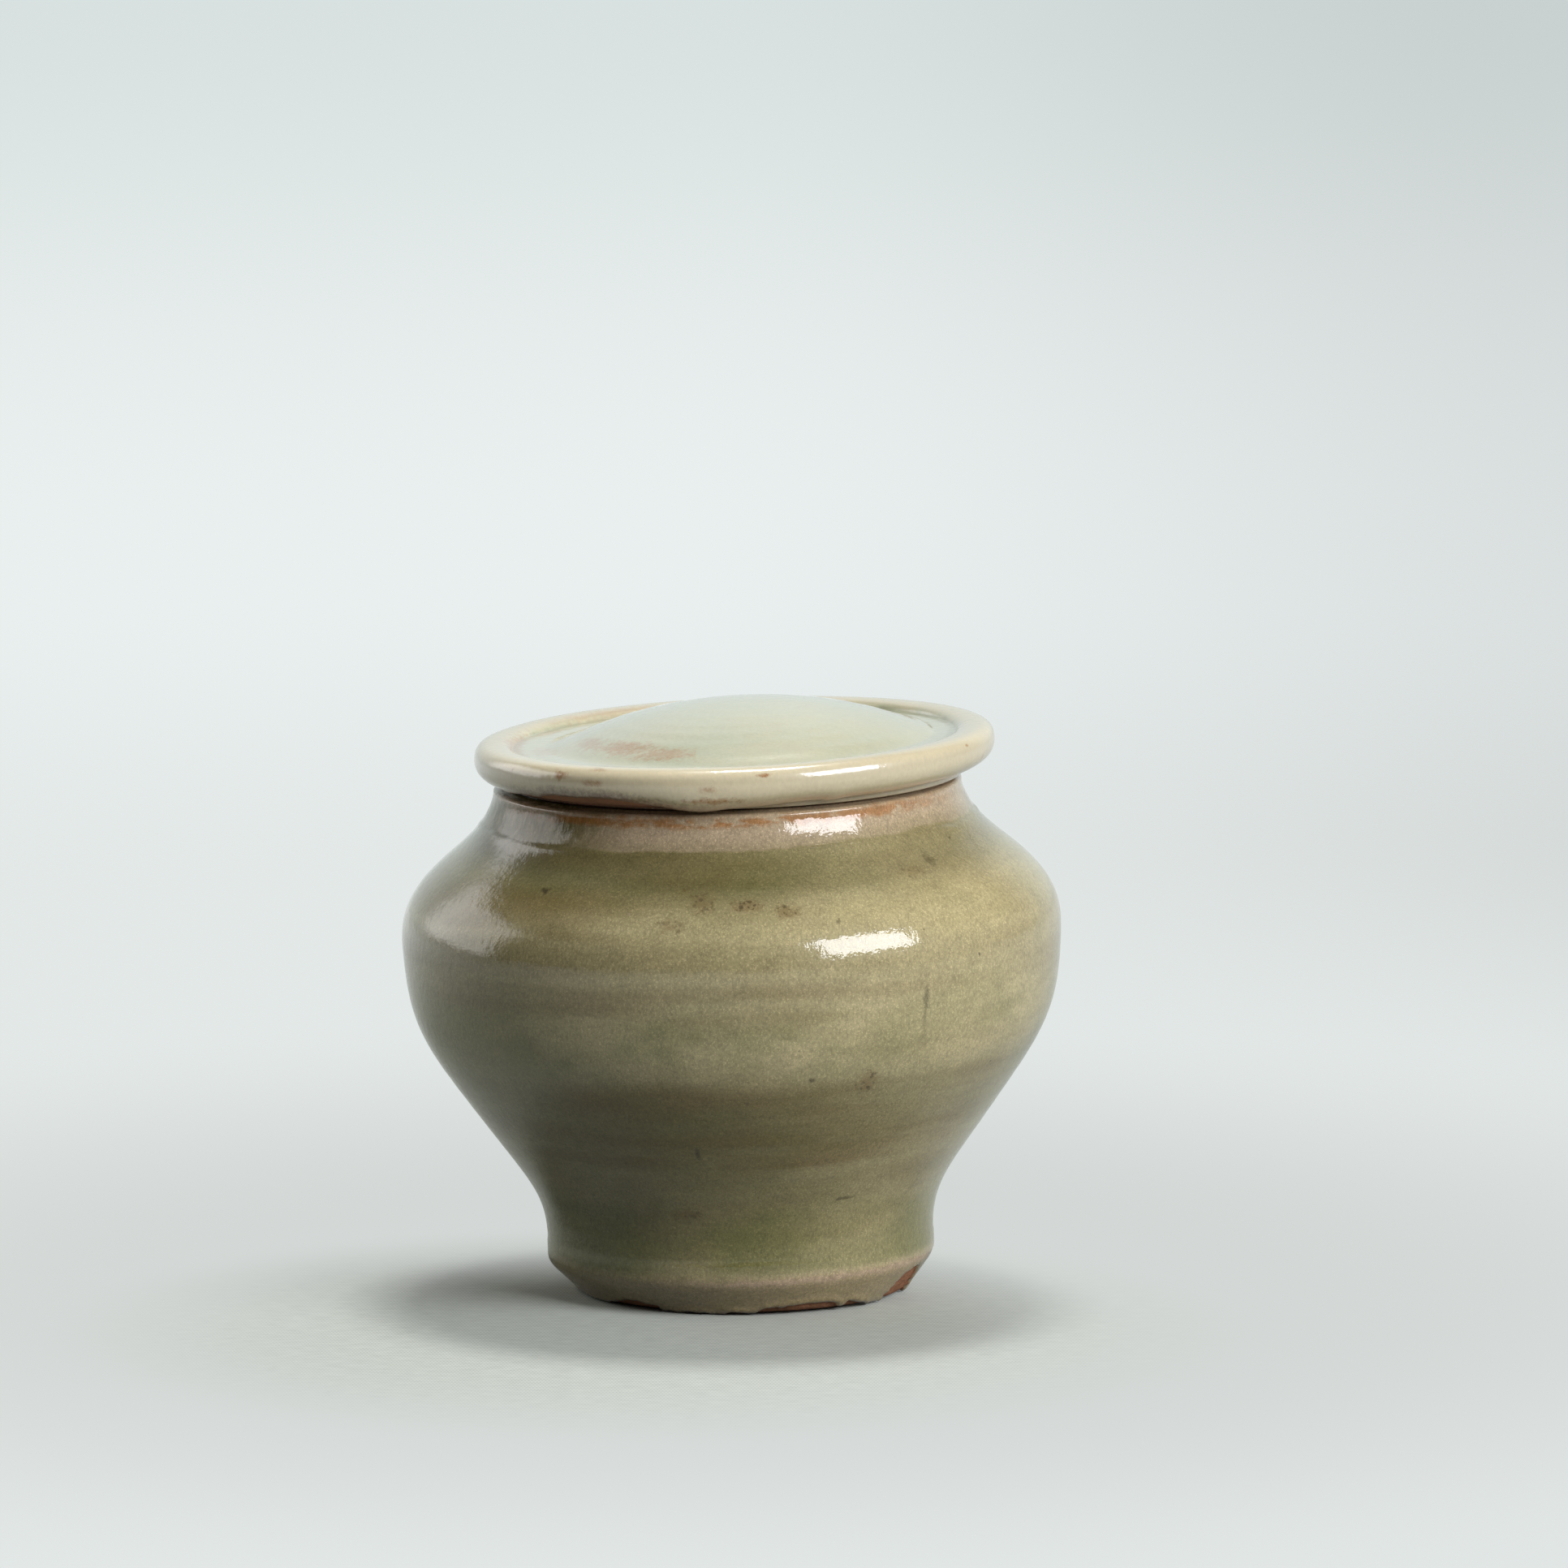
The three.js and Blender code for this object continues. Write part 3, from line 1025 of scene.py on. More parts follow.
def new_material(name):
    material = bpy.data.materials.new(name)
    material.use_nodes = True
    wiring = Wiring(material.node_tree)
    shader = material.node_tree.nodes["Principled BSDF"]
    return material, wiring, shader


def placed_millimetres(wiring, place, lean):
    """Object coordinates turned upright about a place, in millimetres."""
    coordinates = wiring.add("ShaderNodeTexCoord").outputs["Object"]
    values = {"Vector": coordinates, "Location": place, "Rotation": (0, -lean, 0), "Scale": (MM,) * 3}
    return wiring.add("ShaderNodeMapping", values, vector_type="TEXTURE").outputs[0]


def stains(wiring, point, bearing, along, marks, broken):
    """One mask of several stains, which are more or less broken up into grains."""
    total = 0.0
    for middle_bearing, middle, half_width, half_height, strength in marks:
        mask = effect(wiring, "Stain", {
            "Vector": point, "Bearing": bearing, "Along": along, "Middle bearing": middle_bearing,
            "Middle": middle, "Half width": half_width, "Half height": half_height,
            "Broken": broken,
        })["Mask"]
        total = wiring.math("MAXIMUM", wiring.times(mask, strength), total)
    return total


def specks(wiring, point, spacing, size, share, strength):
    """A mask of specks, from their spacing and size in millimetres and the share of places with one."""
    values = {"Vector": point, "Spacing": spacing, "Size": size, "Share": share}
    return wiring.times(effect(wiring, "Scattered specks", values)["Mask"], strength)


CLAY_ROUGHNESS = 0.8
GLAZE_IOR = 1.5
COAT_IOR = 1.55

# Roughness of the glaze and of its coat, and the size in millimetres of its orange peel.
JAR_GLOSS = (0.32, 0.045, 1.1)
LID_GLOSS = (0.3, 0.06, 1.6)

# Depths in millimetres of the clay's grain and of the glaze's orange peel.
CLAY_GRAIN = 0.25
PEEL_DEPTH = 0.045


def glaze_over_clay(wiring, shader, point, covered, glaze, clay_tint, gloss):
    """Feeds the shader with glaze where it covers the clay, and with bare clay elsewhere."""
    roughness, coat_roughness, peel_size = gloss
    clay = effect(wiring, "Bare clay", {"Vector": point, "Color": clay_tint})
    peel = effect(wiring, "Orange peel", {"Vector": point, "Size": peel_size})
    grain = wiring.times(clay["Height"], CLAY_GRAIN)
    relief = wiring.blend(covered, grain, wiring.times(peel["Height"], PEEL_DEPTH))
    bump = wiring.add("ShaderNodeBump", {"Height": relief, "Distance": MM, "Strength": 1.0})
    wiring.feed(shader.inputs["Base Color"], wiring.mix(covered, clay["Color"], glaze))
    wiring.feed(shader.inputs["Roughness"], wiring.blend(covered, CLAY_ROUGHNESS, roughness))
    wiring.feed(shader.inputs["Normal"], bump.outputs[0])
    wiring.feed(shader.inputs["Coat Normal"], bump.outputs[0])
    shader.inputs["IOR"].default_value = GLAZE_IOR
    shader.inputs["Coat IOR"].default_value = COAT_IOR
    shader.inputs["Coat Roughness"].default_value = coat_roughness


# The glaze of the jar

# Heights in millimetres and how much glaze lies there, from 0, thin and khaki, to 1, thick.
GLAZE_DEPTH = (
    (0, 0.6), (4.4, 0.5), (6.4, 0.44), (9, 0.74), (16, 0.68), (19, 0.5), (24, 0.5),
    (30, 0.69), (37, 0.57), (40, 0.13), (48, 0.02), (51, 0.24), (56, 0.15), (62, 0.2),
    (65.4, 0.36), (66.8, 0.55), (69.6, 0.77), (72.3, 0.74),
)

# Heights in millimetres and how brown the glaze is there.
BROWN_BANDS = (
    (0, 0.25), (5, 0.3), (7, 0.0), (17, 0.1), (24, 0.3), (26, 0.75), (29.5, 0.7), (32, 0.45),
    (37, 0.5), (40, 0.12), (48, 0.05), (50, 0.3), (54, 0.34), (57, 0.12), (63, 0.1), (66, 0.15),
)

# Heights in millimetres and how green the glaze is there.
GREEN_BANDS = (
    (0, 0.1), (6, 0.2), (8, 0.65), (16, 0.6), (20, 0.3), (30, 0.35), (38, 0.4), (41, 0.65),
    (48, 0.6), (51, 0.25), (60, 0.1), (65, 0.2), (68, 0.4), (71, 0.0),
)

# Dark marks on the jar: bearing, height, half width in degrees, half height in millimetres, strength.
JAR_MARKS = (
    (-39.1, 66.6, 1.3, 0.7, 1.0),
    (47.5, 68.7, 2.0, 1.0, 0.6),
    (35.8, 49.8, 0.8, 2.6, 0.7),
    (35.8, 45.4, 0.9, 3.0, 0.3),
    (14.4, 38.6, 0.8, 0.6, 0.8),
    (20.0, 62.5, 0.6, 0.5, 0.6),
    (-8.6, 26.7, 0.7, 1.3, 0.85),
    (29.6, 17.9, 4.2, 0.35, 0.8),
    (-120.0, 45.0, 1.2, 2.6, 0.5),
)

# Brown smears full of small dots, in the same values.
JAR_SMEARS = (
    (-5.1, 65.7, 3.4, 1.7, 0.65),
    (-8.4, 67.2, 2.2, 0.7, 0.35),
    (3.6, 65.3, 4.0, 1.1, 0.9),
    (11.0, 64.2, 2.6, 1.2, 0.9),
    (-10.8, 62.7, 3.0, 1.4, 0.6),
    (41.0, 67.6, 4.0, 1.0, 0.45),
    (25.7, 37.9, 2.9, 2.1, 0.9),
    (-14.5, 16.5, 5.0, 1.0, 0.75),
    (75.0, 40.0, 2.0, 1.5, 0.4),
    (140.0, 52.0, 3.0, 1.6, 0.5),
    (-150.0, 62.0, 4.0, 0.9, 0.5),
    (170.0, 30.0, 2.0, 1.0, 0.5),
)

# Noises in the jar's glaze: a factor along each axis, then the scale for a millimetre, the detail
# and the roughness.
STREAKS = ((0.11, 0.11, 1.0), 0.27, 3.0, 0.5)
POOLS = ((0.5, 0.5, 1.0), 0.07, 3.0, 0.6)
TRICKLES = ((1.0, 1.0, 0.12), 0.8, 3.0, 0.6)
RUST_PATCHES = ((0.35, 0.35, 1.0), 0.6, 4.0, 0.65)
KNIFE_MARKS = ((0.2, 0.2, 1.6), 0.9, 3.0, 0.6)

# Specks: spacing and size in millimetres, share of the places that have one, and strength.
SMEAR_DOTS = (0.7, 0.6, 0.8, 0.7)
DARK_SPECKS = (4.6, 0.42, 0.35, 0.65)
PALE_SPECKS = (3.1, 0.3, 0.25, 0.6)

# The gloss of the neck's streaked glaze is less by this share.
DULL_NECK = 0.35

# How much the marks are broken up into grains.
MARKS_BROKEN = 0.3

# Degrees off the line from front to back, less than 0 at the left, where a trait comes in or goes.
PAINTED_LIGHT_RIGHT = (0.0, 36.0)
LESS_PAINTED_LIGHT_FAR_RIGHT = (42.0, 62.0)
DARK_LEFT = (-38.0, -8.0)
GREEN_LEFT = (-50.0, 0.0)
NECK_LINE_DROP = (5.0, 40.0)
STREAKED_NECK = (-46.0, -22.0)
PALE_FOOT_EDGE = (-60.0, 30.0)

# Degrees from the middle of the rust and of the pale line at the lip, where they go. The pale line is
# partly thin glaze and partly a painted highlight.
RUST_REACH = (35.0, 80.0)
LIP_LINE_AND_HIGHLIGHT_BEARING = -60.0
LIP_LINE_AND_HIGHLIGHT_REACH = (14.0, 32.0)

# Heights in millimetres where a trait comes in or goes, or where its middle lies.
UNDER_SHOULDER = (62.0, 66.0)
DARK_LEFT_START = (60.0, 62.0)
DARK_LEFT_END = (65.5, 68.0)
RUST_HEIGHT = 76.4
LIP_LINE_AND_HIGHLIGHT_HEIGHT = 77.2

# How far streaks and slow waves move the bands up and down, in millimetres.
STREAK_SWAY = 4.0
SLOW_SWAY = 6.0

# Painted light: how much thinner, less brown and less green the glaze is painted at the right, so that
# side looks more lit.
PAINTED_LIGHT_DEPTH_CUT = 0.4
PAINTED_LIGHT_BROWN_CUT = 0.35
PAINTED_LIGHT_GREEN_CUT = 0.5


def to_the_side(wiring, bearing):
    """Degrees off the line from front to back, so that both sides meet at the back without a seam."""
    sine = wiring.math("SINE", wiring.math("RADIANS", bearing))
    return wiring.math("DEGREES", wiring.math("ARCSINE", sine))


def banded_glaze(w, jar, colours, point, height, side):
    """The colour of the glaze by how thick, how brown and how green it is, made lighter at the right as
    painted light.
    """
    streaks = w.drawn_noise(point, *STREAKS)
    off_streak = w.math("SUBTRACT", streaks, 0.5)
    drift = w.times(w.waver(point, 0.035, 2.0, 0.5), SLOW_SWAY)
    height = w.plus(w.plus(height, w.times(off_streak, STREAK_SWAY)), drift)
    reach = (jar.lip_height + jar.lip_rise) / MM
    low = w.fade(height, *UNDER_SHOULDER)
    # Painted light: the right side gets thinner, lighter glaze, less so at the far right low down.
    less_painted_far_right = w.times(w.ease(side, *LESS_PAINTED_LIGHT_FAR_RIGHT), low)
    right = w.times(w.ease(side, *PAINTED_LIGHT_RIGHT), w.less(less_painted_far_right, 0.75))
    right = w.times(right, w.blend(low, 0.8, 1.0))
    left_band = w.times(w.ease(height, *DARK_LEFT_START), w.fade(height, *DARK_LEFT_END))
    left = w.times(w.fade(side, *DARK_LEFT), left_band)

    depth = w.plus(w.profile(height, reach, GLAZE_DEPTH), w.times(off_streak, 0.5), clamped=True)
    depth = w.times(depth, w.less(right, PAINTED_LIGHT_DEPTH_CUT))
    depth = w.plus(depth, w.times(left, 0.3), clamped=True)
    glaze = w.mix(depth, colours.khaki, colours.olive)
    brown = w.times(w.profile(height, reach, BROWN_BANDS), w.ease(streaks, 0.3, 0.62))
    brown = w.times(brown, w.less(right, PAINTED_LIGHT_BROWN_CUT))
    brown = w.plus(brown, w.times(left, 0.25), clamped=True)
    glaze = w.mix(brown, glaze, colours.blush)
    pool = w.ease(w.drawn_noise(point, *POOLS), 0.35, 0.6)
    pooled = w.plus(pool, w.times(w.fade(side, *GREEN_LEFT), 0.6), clamped=True)
    green = w.times(w.profile(height, reach, GREEN_BANDS), pooled)
    green = w.times(green, w.less(right, PAINTED_LIGHT_GREEN_CUT))
    return w.mix(green, glaze, colours.green)


def neck_cover(w, wobble, side):
    """How far a place has only the thin glaze of the neck."""
    over_line = w.plus(w.attribute("neck"), w.times(wobble, 0.6))
    over_line = w.math("SUBTRACT", over_line, w.times(w.ease(side, *NECK_LINE_DROP), 0.6))
    firm = w.times(w.ease(over_line, -0.3, 0.3), 0.6)
    return w.plus(firm, w.times(w.ease(over_line, 0.2, 2.4), 0.4))


def rusty_lip(w, colours, point, bearing, height, glaze):
    """Patches of rust under the lip in front, and a pale line along the lip at the left: partly thin glaze
    over the lip's edge, partly a painted highlight.
    """
    band = w.fade(w.apart(height, RUST_HEIGHT), 0.3, 1.2)
    patches = w.ease(w.drawn_noise(point, *RUST_PATCHES), 0.36, 0.52)
    in_front = w.fade(w.math("ABSOLUTE", bearing), *RUST_REACH)
    rusty = w.times(w.times(band, patches), in_front)
    glaze = w.mix(w.times(rusty, 0.7), glaze, colours.rust)
    # Partly thin glaze over the lip's edge, partly a painted highlight along it.
    line = w.fade(w.apart(height, LIP_LINE_AND_HIGHLIGHT_HEIGHT), 0.1, 0.5)
    at_left = w.fade(w.apart(bearing, LIP_LINE_AND_HIGHLIGHT_BEARING), *LIP_LINE_AND_HIGHLIGHT_REACH)
    return w.mix(w.times(line, at_left), glaze, colours.edge_line)


def scraped_foot(w, jar, colours, point, side, height, glaze):
    """The dull chamfer, and the pale line where the glaze ran thin over the edge above it."""
    chamfer_top = jar.chamfer_height / MM
    on_chamfer = w.fade(height, chamfer_top - 0.8, chamfer_top + 0.4)
    knife = w.ease(w.drawn_noise(point, *KNIFE_MARKS), 0.4, 0.62)
    scraped = w.mix(knife, colours.chamfer, colours.edge_line)
    scraped = w.mix(0.75, scraped, colours.chamfer)
    glaze = w.mix(w.times(on_chamfer, 0.85), glaze, scraped)
    off_edge = w.apart(height, chamfer_top + 0.2)
    thin_line = w.times(w.fade(off_edge, 0.1, 0.6), 0.5)
    on_edge = w.plus(thin_line, w.times(w.fade(off_edge, 0.3, 1.7), 0.4))
    thin = w.ease(w.noise(point, 0.1, 2.0), 0.35, 0.6)
    # The pale line is stronger where the glaze is thin and grows paler towards the right.
    thin_and_rightward = w.plus(w.times(thin, 0.35), w.ease(side, *PALE_FOOT_EDGE))
    return w.mix(w.times(on_edge, thin_and_rightward, clamped=True), glaze, colours.edge_line)


def marked_glaze(w, colours, point, axis, glaze):
    """Mottling, dark marks, brown smears full of dots, and scattered specks."""
    mottled = effect(w, "Mottled glaze", {
        "Vector": point, "Color": glaze, "Strength": 0.34, "Grain": 0.4, "Crystals": 0.45,
    })
    marks = stains(w, point, axis["Bearing"], axis["Height"], JAR_MARKS, MARKS_BROKEN)
    smears = stains(w, point, axis["Bearing"], axis["Height"], JAR_SMEARS, 0.0)
    dots = w.times(smears, specks(w, point, *SMEAR_DOTS))
    dark = specks(w, point, *DARK_SPECKS)
    dirt = w.math("MAXIMUM", dark, w.math("MAXIMUM", marks, dots))
    glaze = w.mix(w.times(smears, 0.55), mottled["Color"], colours.blush)
    glaze = w.mix(dirt, glaze, colours.speck)
    return w.mix(specks(w, point, *PALE_SPECKS), glaze, colours.edge_line)


def jar_material(jar, colours):
    """Olive celadon over stoneware, banded by how the glaze ran, with a bare rusty foot."""
    material, w, shader = new_material("celadon_glaze")
    point = placed_millimetres(w, (lean_shift(jar), 0, 0), jar.lean)
    axis = effect(w, "Round the axis", {"Vector": point})
    side = to_the_side(w, axis["Bearing"])
    wobble = w.waver(point, 0.5, 4.0, 0.6)
    wavy_height = w.plus(axis["Height"], w.times(wobble, 1.6))

    glaze = banded_glaze(w, jar, colours, point, axis["Height"], side)
    on_neck = neck_cover(w, wobble, side)
    streaked = w.fade(side, *STREAKED_NECK)
    trickles = w.ease(w.drawn_noise(point, *TRICKLES), 0.36, 0.56)
    trickles = w.times(w.blend(trickles, 0.55, 1.0), streaked)
    glaze = w.mix(on_neck, glaze, w.mix(trickles, colours.bare_neck, colours.olive))
    glaze = rusty_lip(w, colours, point, axis["Bearing"], wavy_height, glaze)
    glaze = scraped_foot(w, jar, colours, point, side, wavy_height, glaze)
    glaze = marked_glaze(w, colours, point, axis, glaze)

    edge = effect(w, "Glaze edge", {"Vector": point, "Above": w.attribute("glaze"), "Fringe": 0.9})
    glaze = w.mix(w.times(edge["Edge"], 0.5), glaze, colours.blush)
    glaze_over_clay(w, shader, point, edge["Covered"], glaze, colours.clay, JAR_GLOSS)
    shine = w.less(w.times(on_neck, streaked), DULL_NECK)
    w.feed(shader.inputs["Coat Weight"], w.times(edge["Covered"], shine))
    shader.inputs["Specular IOR Level"].default_value = 0.1
    return material


# The glaze of the lid

# Tan stains on the lid: bearing, radius in millimetres, half width, half height, strength.
LID_STAINS = (
    (-66.0, 23.6, 14.0, 2.4, 0.6),
    (-45.0, 23.5, 18.0, 2.6, 0.7),
    (-25.0, 24.8, 15.0, 2.4, 0.65),
    (-92.0, 33.2, 26.0, 1.8, 0.75),
    (-80.0, 29.0, 12.0, 2.4, 0.5),
    (-118.0, 32.0, 9.0, 1.6, 0.6),
    (-145.0, 34.4, 22.0, 1.6, 0.3),
    (150.0, 30.0, 14.0, 2.0, 0.15),
)

# Rusty spots on the rim: bearing, height over the seat, half width, half height, strength.
RIM_SPOTS = (
    (-41.3, 5.2, 2.6, 0.8, 0.8),
    (-32.7, 4.3, 3.4, 0.6, 0.6),
    (-32.0, 6.2, 2.6, 0.3, 0.5),
    (6.5, 5.6, 1.8, 0.35, 0.9),
    (-5.4, 3.6, 2.6, 0.7, 0.55),
    (-5.0, 1.9, 7.0, 0.7, 0.8),
    (-58.0, 4.9, 1.0, 0.5, 0.7),
    (63.7, 6.1, 0.9, 0.3, 0.9),
    (72.6, 3.6, 1.0, 0.8, 0.6),
    (130.0, 4.5, 5.0, 0.9, 0.45),
    (-150.0, 4.8, 4.0, 0.7, 0.5),
)

# Specks on the lid, in the values of the jar's.
LID_SPECKS = (5.2, 0.45, 0.22, 0.55)

# Bearing where the rim is painted lighter, as painted light from the front left, and bearing where its
# edge is most bare, and the degrees from there over which that goes.
PAINTED_LIGHT_RIM_BEARING = -32.0
PAINTED_LIGHT_RIM_REACH = (22.0, 66.0)
BARE_RIM_BEARING = -45.0
BARE_RIM_REACH = (28.0, 50.0)

# Millimetres to the right of the middle over which the top is painted darker and greener, as painted
# shade.
PAINTED_SHADE_TOP_RIGHT = (8.0, 26.0)


def lid_material(jar, lid, colours):
    """Pale celadon on top, cream where it is thin on the rim, bare clay on the seat and flange."""
    material, w, shader = new_material("pale_celadon_glaze")
    point = placed_millimetres(w, lid_place(jar, lid), jar.lean)
    axis = effect(w, "Round the axis", {"Vector": point})
    recess = (jar.lip_radius + lid.rim_overhang - lid.rim_width) / MM
    radius = w.plus(axis["Radius"], w.times(w.waver(point, 0.3, 3.0, 0.6), 1.6))

    clouds = w.ease(w.noise(point, 0.08, 3.0, 0.55), 0.35, 0.7)
    top = w.mix(0.35, colours.pale, w.mix(clouds, colours.pale, colours.cream))
    # Painted shade: the top is mixed towards the green glaze to the right of the middle.
    top = w.mix(w.times(w.ease(w.split(point)["X"], *PAINTED_SHADE_TOP_RIGHT), 0.2), top, colours.green)
    # Painted light: the cream of the rim is made lighter towards the front left.
    painted_light = w.fade(w.apart(axis["Bearing"], PAINTED_LIGHT_RIM_BEARING), *PAINTED_LIGHT_RIM_REACH)
    rim = w.shade(colours.cream, w.plus(1.0, w.times(painted_light, 0.22)))
    glaze = w.mix(w.ease(radius, recess - 0.3, recess + 1.5), top, rim)
    pooled = w.fade(w.apart(radius, recess - 0.5), 0.1, 1.0)
    glaze = w.mix(w.times(pooled, 0.35), glaze, colours.green)
    tan = stains(w, point, axis["Bearing"], axis["Radius"], LID_STAINS, 0.25)
    glaze = w.mix(tan, glaze, colours.stain)
    mottled = effect(w, "Mottled glaze", {
        "Vector": point, "Color": glaze, "Strength": 0.08, "Grain": 0.5, "Crystals": 0.0,
    })
    glaze = w.mix(specks(w, point, *LID_SPECKS), mottled["Color"], colours.rust)

    edge = effect(w, "Glaze edge", {"Vector": point, "Above": w.attribute("glaze"), "Fringe": 2.1})
    off_bare_side = w.ease(w.apart(axis["Bearing"], BARE_RIM_BEARING), *BARE_RIM_REACH)
    fringe = w.times(edge["Edge"], w.blend(off_bare_side, 0.95, 0.3))
    glaze = w.mix(fringe, glaze, colours.plum)
    spots = stains(w, point, axis["Bearing"], axis["Height"], RIM_SPOTS, MARKS_BROKEN)
    spots = w.times(spots, w.ease(axis["Radius"], recess + 0.6, recess + 1.6))
    glaze = w.mix(spots, glaze, colours.rust)
    glaze_over_clay(w, shader, point, edge["Covered"], glaze, colours.clay, LID_GLOSS)
    w.feed(shader.inputs["Coat Weight"], edge["Covered"])
    return material


# Floor, lamps and camera

# The floor lies this far under the foot.
FLOOR_DROP = 0.02 * MM

# Pitch of the cloth's threads one way and the other, and the noise of its slubs.
THREAD_PITCH = (0.5 * MM, 2.4 * MM)
SLUBS = ((300, 900, 1), 1.0, 3.0, 0.7)

# The jar's shadow lies round this place. Further out the cloth is evenly bright.
SHADOW_MIDDLE = (-0.012, -0.038, 0)
SHADOW_REACH = (0.035, 0.095)

# Distances in metres from the jar's middle over which the cloth changes.
WEAVE_FADE = (0.15, 0.45)
NEAR_BACKDROP = (0.08, 0.26)
FAR_BACKDROP = (0.4, 0.8)
HORIZON_START = (0.85, 2.0)
MIRRORED_START = (0.1, 0.5)


def floor_material(stage):
    """Pale cloth with a fine weave near the jar, and a glowing backdrop far from it, with painted shade
    towards the right.
    """
    material, w, shader = new_material("floor_cloth")
    point = w.add("ShaderNodeTexCoord").outputs["Object"]
    place = w.split(point)
    away = w.measure("LENGTH", point)
    rays = w.add("ShaderNodeLightPath").outputs

    turns = [math.tau / pitch for pitch in THREAD_PITCH]
    threads = w.split(w.stretch(point, (*turns, 1)))
    weave = w.times(w.math("SINE", threads["X"]), w.math("SINE", threads["Y"]))
    weave = w.times(weave, w.fade(away, *WEAVE_FADE))
    slubs = w.times(w.math("SUBTRACT", w.drawn_noise(point, *SLUBS), 0.5), 0.4)
    level = w.plus(w.plus(0.9, w.times(weave, 0.12)), slubs)
    level = w.times(level, w.blend(rays["Is Glossy Ray"], 1.0, 0.8))
    cloth = w.mix(rays["Is Diffuse Ray"], stage.shaded_cloth, stage.floor_shade)
    w.feed(shader.inputs["Base Color"], w.shade(cloth, level))
    shader.inputs["Roughness"].default_value = 0.9
    shader.inputs["Specular IOR Level"].default_value = 0.2

    farther = w.times(w.ease(away, *NEAR_BACKDROP), 0.7)
    farther = w.plus(farther, w.times(w.ease(away, *FAR_BACKDROP), 0.3))
    tone = w.mix(farther, stage.floor, stage.backdrop)
    tone = w.mix(w.ease(away, *HORIZON_START), tone, stage.horizon)
    # Painted shade: the backdrop glows darker towards the right.
    painted_shade_right = w.times(w.ease(place["X"], -0.02, 0.2), w.ease(away, 0.15, 0.5))
    unlit = w.times(w.fade(place["Y"], 0.0, 0.5), w.ease(away, 0.25, 0.8))
    unlit = w.times(unlit, rays["Is Glossy Ray"])
    strength = w.times(w.less(painted_shade_right, 0.15), w.less(unlit, 0.45))
    backdrop = w.add("ShaderNodeEmission", {"Color": tone, "Strength": strength}).outputs[0]

    off_shadow = w.measure("DISTANCE", point, SHADOW_MIDDLE)
    clear = w.times(w.ease(off_shadow, *SHADOW_REACH), rays["Is Camera Ray"])
    mirrored = w.math("MAXIMUM", rays["Is Glossy Ray"], rays["Is Transmission Ray"])
    mirrored = w.times(mirrored, w.ease(away, *MIRRORED_START))
    share = w.math("MAXIMUM", clear, mirrored)
    both = w.add("ShaderNodeMixShader", {0: share, 1: shader.outputs[0], 2: backdrop})
    w.feed(material.node_tree.nodes["Material Output"].inputs["Surface"], both.outputs[0])
    return material


def add_floor(stage):
    floor = bmesh.new()
    bmesh.ops.create_grid(floor, x_segments=8, y_segments=8, size=stage.floor_size / 2)
    bmesh.ops.translate(floor, verts=floor.verts, vec=(0, 0, -FLOOR_DROP))
    finished("floor", floor, floor_material(stage))


# Bearing and height in degrees of each lamp, and their distance in metres.
KEY_LAMP_PLACE = (50, 28)
SIDE_LAMP_PLACE = (-118, 18)
BACK_LAMP_PLACE = (173, 75)
LAMP_DISTANCE = 1.2

KEY_LAMP_TINT = (0.99, 1.0, 1.05)

# The wide lamp in the gloss, in parts of a direction: where its light starts to go, and is gone.
PANEL_WIDE = (0.3, 0.5)
PANEL_TALL = (0.19, 0.36)
PANEL_AHEAD = (0.0, 0.5)

# Parts of a direction, to the back, up or to the right, between which the room changes.
BACKDROP_START = (0.57, 0.9)
BACKDROP_TOP = (0.6, 0.9)
RIGHT_SIDE = (0.0, 0.9)
RIGHT_SIDE_TOP = (0.1, 0.6)
CEILING_START = (0.35, 0.9)

# The gloss shows the room's even light darker by this share.
GLOSS_DIMMING = 0.7

CLIP_END = 60


def facing(bearing, elevation):
    """Turns the way up into the way to a lamp, which stands in front at bearing 0."""
    return Euler((math.radians(90 - elevation), 0, math.radians(bearing))).to_matrix()


def add_lamp(name, place, size, brightness, lamp_tint=(1, 1, 1)):
    """A soft lamp that faces the jar. Its brightness is what a mirror would show."""
    light = bpy.data.lights.new(name, "AREA")
    light.shape = "RECTANGLE"
    light.size, light.size_y = size
    light.energy = brightness * math.pi * size[0] * size[1]
    light.color = lamp_tint
    lamp = bpy.data.objects.new(name, light)
    turn = facing(*place)
    middle = Vector((0, 0, JAR_HIGH.z / 2))
    lamp.location = middle + turn @ Vector((0, 0, LAMP_DISTANCE))
    lamp.rotation_euler = turn.to_euler()
    lamp.visible_camera = False
    bpy.context.scene.collection.objects.link(lamp)
    return lamp


def add_lamps(stage):
    add_lamp("key_lamp", KEY_LAMP_PLACE, (0.72, 0.5), stage.key, KEY_LAMP_TINT)
    side = add_lamp("side_lamp", SIDE_LAMP_PLACE, (1.0, 0.62), stage.side)
    side.visible_glossy = False
    add_lamp("back_lamp", BACK_LAMP_PLACE, (0.28, 0.28), stage.back)


def soft_panel(w, direction):
    """The wide lamp at the left as the gloss shows it, fading out at its edges."""
    turn = facing(*SIDE_LAMP_PLACE)
    across, upward, toward = (w.measure("DOT_PRODUCT", direction, column) for column in turn.col)
    wide = w.fade(w.math("ABSOLUTE", across), *PANEL_WIDE)
    tall = w.fade(w.math("ABSOLUTE", upward), *PANEL_TALL)
    return w.times(w.times(wide, tall), w.ease(toward, *PANEL_AHEAD))


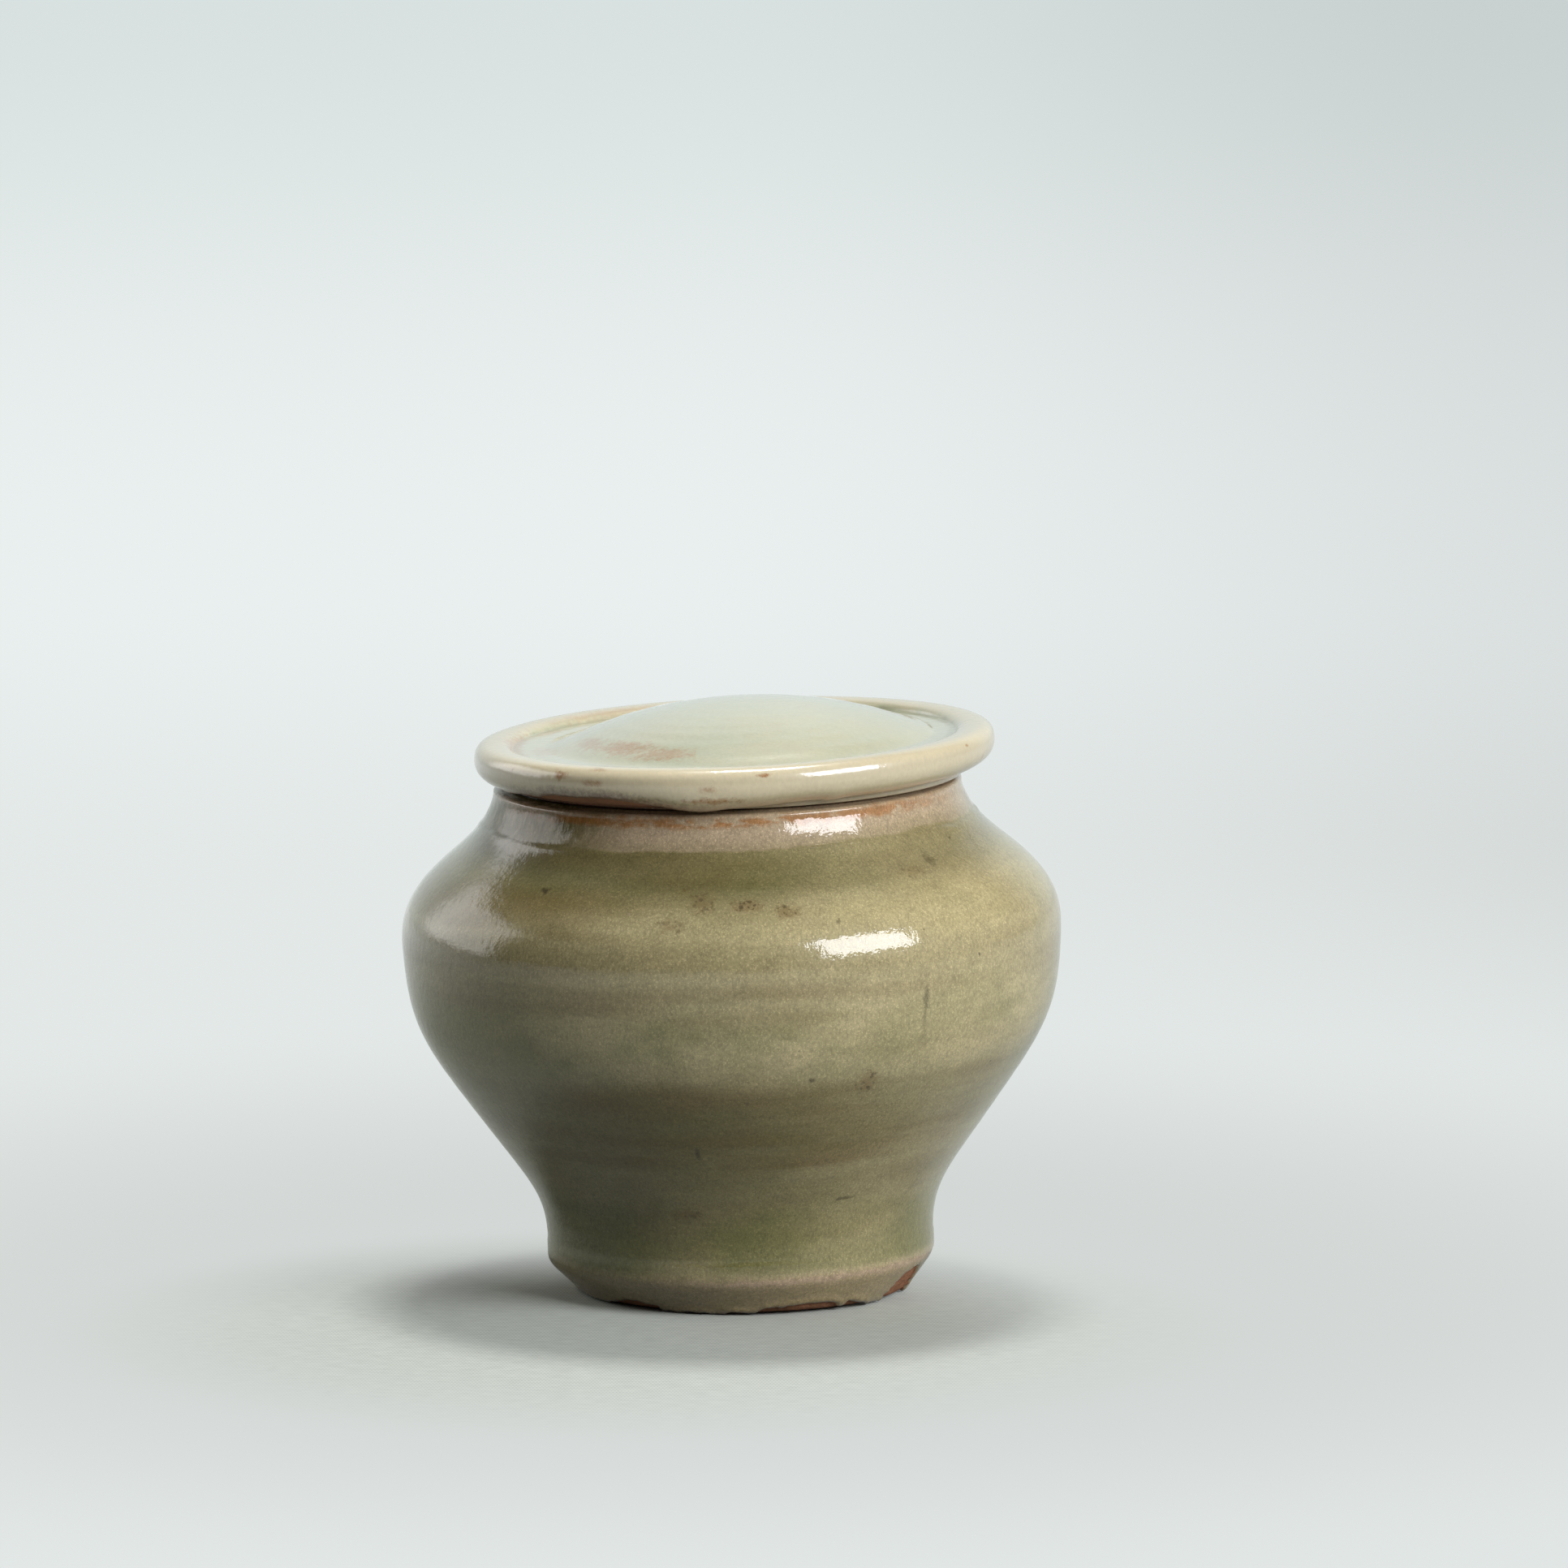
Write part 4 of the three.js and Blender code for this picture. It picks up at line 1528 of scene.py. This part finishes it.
def add_world(stage):
    """A dim room with a pale backdrop, which the camera and the gloss of the glaze see."""
    world = bpy.data.worlds.new("pale_room")
    bpy.context.scene.world = world
    world.use_nodes = True
    w = Wiring(world.node_tree)
    rays = w.add("ShaderNodeLightPath").outputs
    direction = w.add("ShaderNodeTexCoord").outputs["Generated"]
    way = w.split(direction)
    gloss = w.math("MAXIMUM", rays["Is Glossy Ray"], rays["Is Transmission Ray"])
    behind = w.times(w.ease(way["Y"], *BACKDROP_START), w.fade(way["Z"], *BACKDROP_TOP))
    seen = w.math("MAXIMUM", rays["Is Camera Ray"], w.times(gloss, behind))
    right = w.times(w.ease(way["X"], *RIGHT_SIDE), w.fade(way["Z"], *RIGHT_SIDE_TOP))
    room = w.mix(right, [stage.world] * 3, [stage.room] * 3)
    room = w.mix(w.ease(way["Z"], *CEILING_START), room, [stage.sky] * 3)
    room = w.mix(w.times(gloss, GLOSS_DIMMING), room, (0.0, 0.0, 0.0))
    room = w.mix(w.times(soft_panel(w, direction), gloss), room, [stage.side_shine] * 3)
    background = world.node_tree.nodes["Background"]
    w.feed(background.inputs["Color"], w.mix(seen, room, stage.horizon))


def add_camera(stage):
    lens = bpy.data.cameras.new("camera")
    lens.sensor_width = SENSOR_WIDTH
    lens.lens = stage.lens
    lens.clip_end = CLIP_END
    camera = bpy.data.objects.new("camera", lens)
    camera.location = stage.camera
    camera.rotation_euler = (math.pi / 2 - stage.pitch, 0, 0)
    bpy.context.scene.collection.objects.link(camera)
    bpy.context.scene.camera = camera


# Operators

class CELADON_OT_jar_body(Operator):
    """Make the jar's body: foot, belly, neck, lip and inside, with its glaze"""
    bl_idname = "celadon.jar_body"
    bl_label = "Jar body"

    def execute(self, context):
        jar = context.scene.celadon_jar
        solid = turned(jar_outside(jar), jar_inside(jar), jar.steps)
        shape_jar(solid, jar)
        piece = finished("glazed_jar", solid, jar_material(jar, context.scene.celadon_colours))
        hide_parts("jar_body")
        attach(piece, "jar")
        return {"FINISHED"}


class CELADON_OT_lid(Operator):
    """Make the lid: rim, recess, dome, seat and flange, with its paler glaze"""
    bl_idname = "celadon.lid"
    bl_label = "Lid"

    def execute(self, context):
        jar = context.scene.celadon_jar
        lid = context.scene.celadon_lid
        outer_part, hollow_part = lid_section(jar, lid)
        solid = turned(outer_part[::-1], hollow_part[::-1], lid.steps)
        shape_lid(solid, jar, lid)
        piece = finished("glazed_lid", solid, lid_material(jar, lid, context.scene.celadon_colours))
        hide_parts("lid")
        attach(piece, "lid")
        return {"FINISHED"}


class CELADON_OT_stage(Operator):
    """Make the floor, the lamps, the light from all round and the camera"""
    bl_idname = "celadon.stage"
    bl_label = "Stage"

    def execute(self, context):
        stage = context.scene.celadon_stage
        add_floor(stage)
        add_lamps(stage)
        add_world(stage)
        add_camera(stage)
        context.scene.view_settings.view_transform = "Standard"
        return {"FINISHED"}


class CELADON_PT_panel(Panel):
    """Lists the operators that make the jar"""
    bl_idname = "CELADON_PT_panel"
    bl_label = "Celadon Jar"
    bl_space_type = "VIEW_3D"
    bl_region_type = "UI"
    bl_category = "Celadon Jar"

    def draw(self, context):
        for operator in PIECE_OPERATORS:
            self.layout.operator(operator.bl_idname)


SETTINGS = {
    "celadon_jar": CeladonJarSizes,
    "celadon_lid": CeladonLidSizes,
    "celadon_colours": CeladonColours,
    "celadon_stage": CeladonStage,
}
PIECE_OPERATORS = (CELADON_OT_stage, CELADON_OT_jar_body, CELADON_OT_lid)


def register():
    for name, group in SETTINGS.items():
        bpy.utils.register_class(group)
        setattr(bpy.types.Scene, name, PointerProperty(type=group))
    for operator in PIECE_OPERATORS:
        bpy.utils.register_class(operator)
    bpy.utils.register_class(CELADON_PT_panel)


def unregister():
    bpy.utils.unregister_class(CELADON_PT_panel)
    for operator in reversed(PIECE_OPERATORS):
        bpy.utils.unregister_class(operator)
    for name, group in reversed(SETTINGS.items()):
        delattr(bpy.types.Scene, name)
        bpy.utils.unregister_class(group)


def main():
    register()
    bpy.ops.celadon.stage()
    bpy.ops.celadon.jar_body()
    bpy.ops.celadon.lid()


if __name__ == "__main__":
    main()
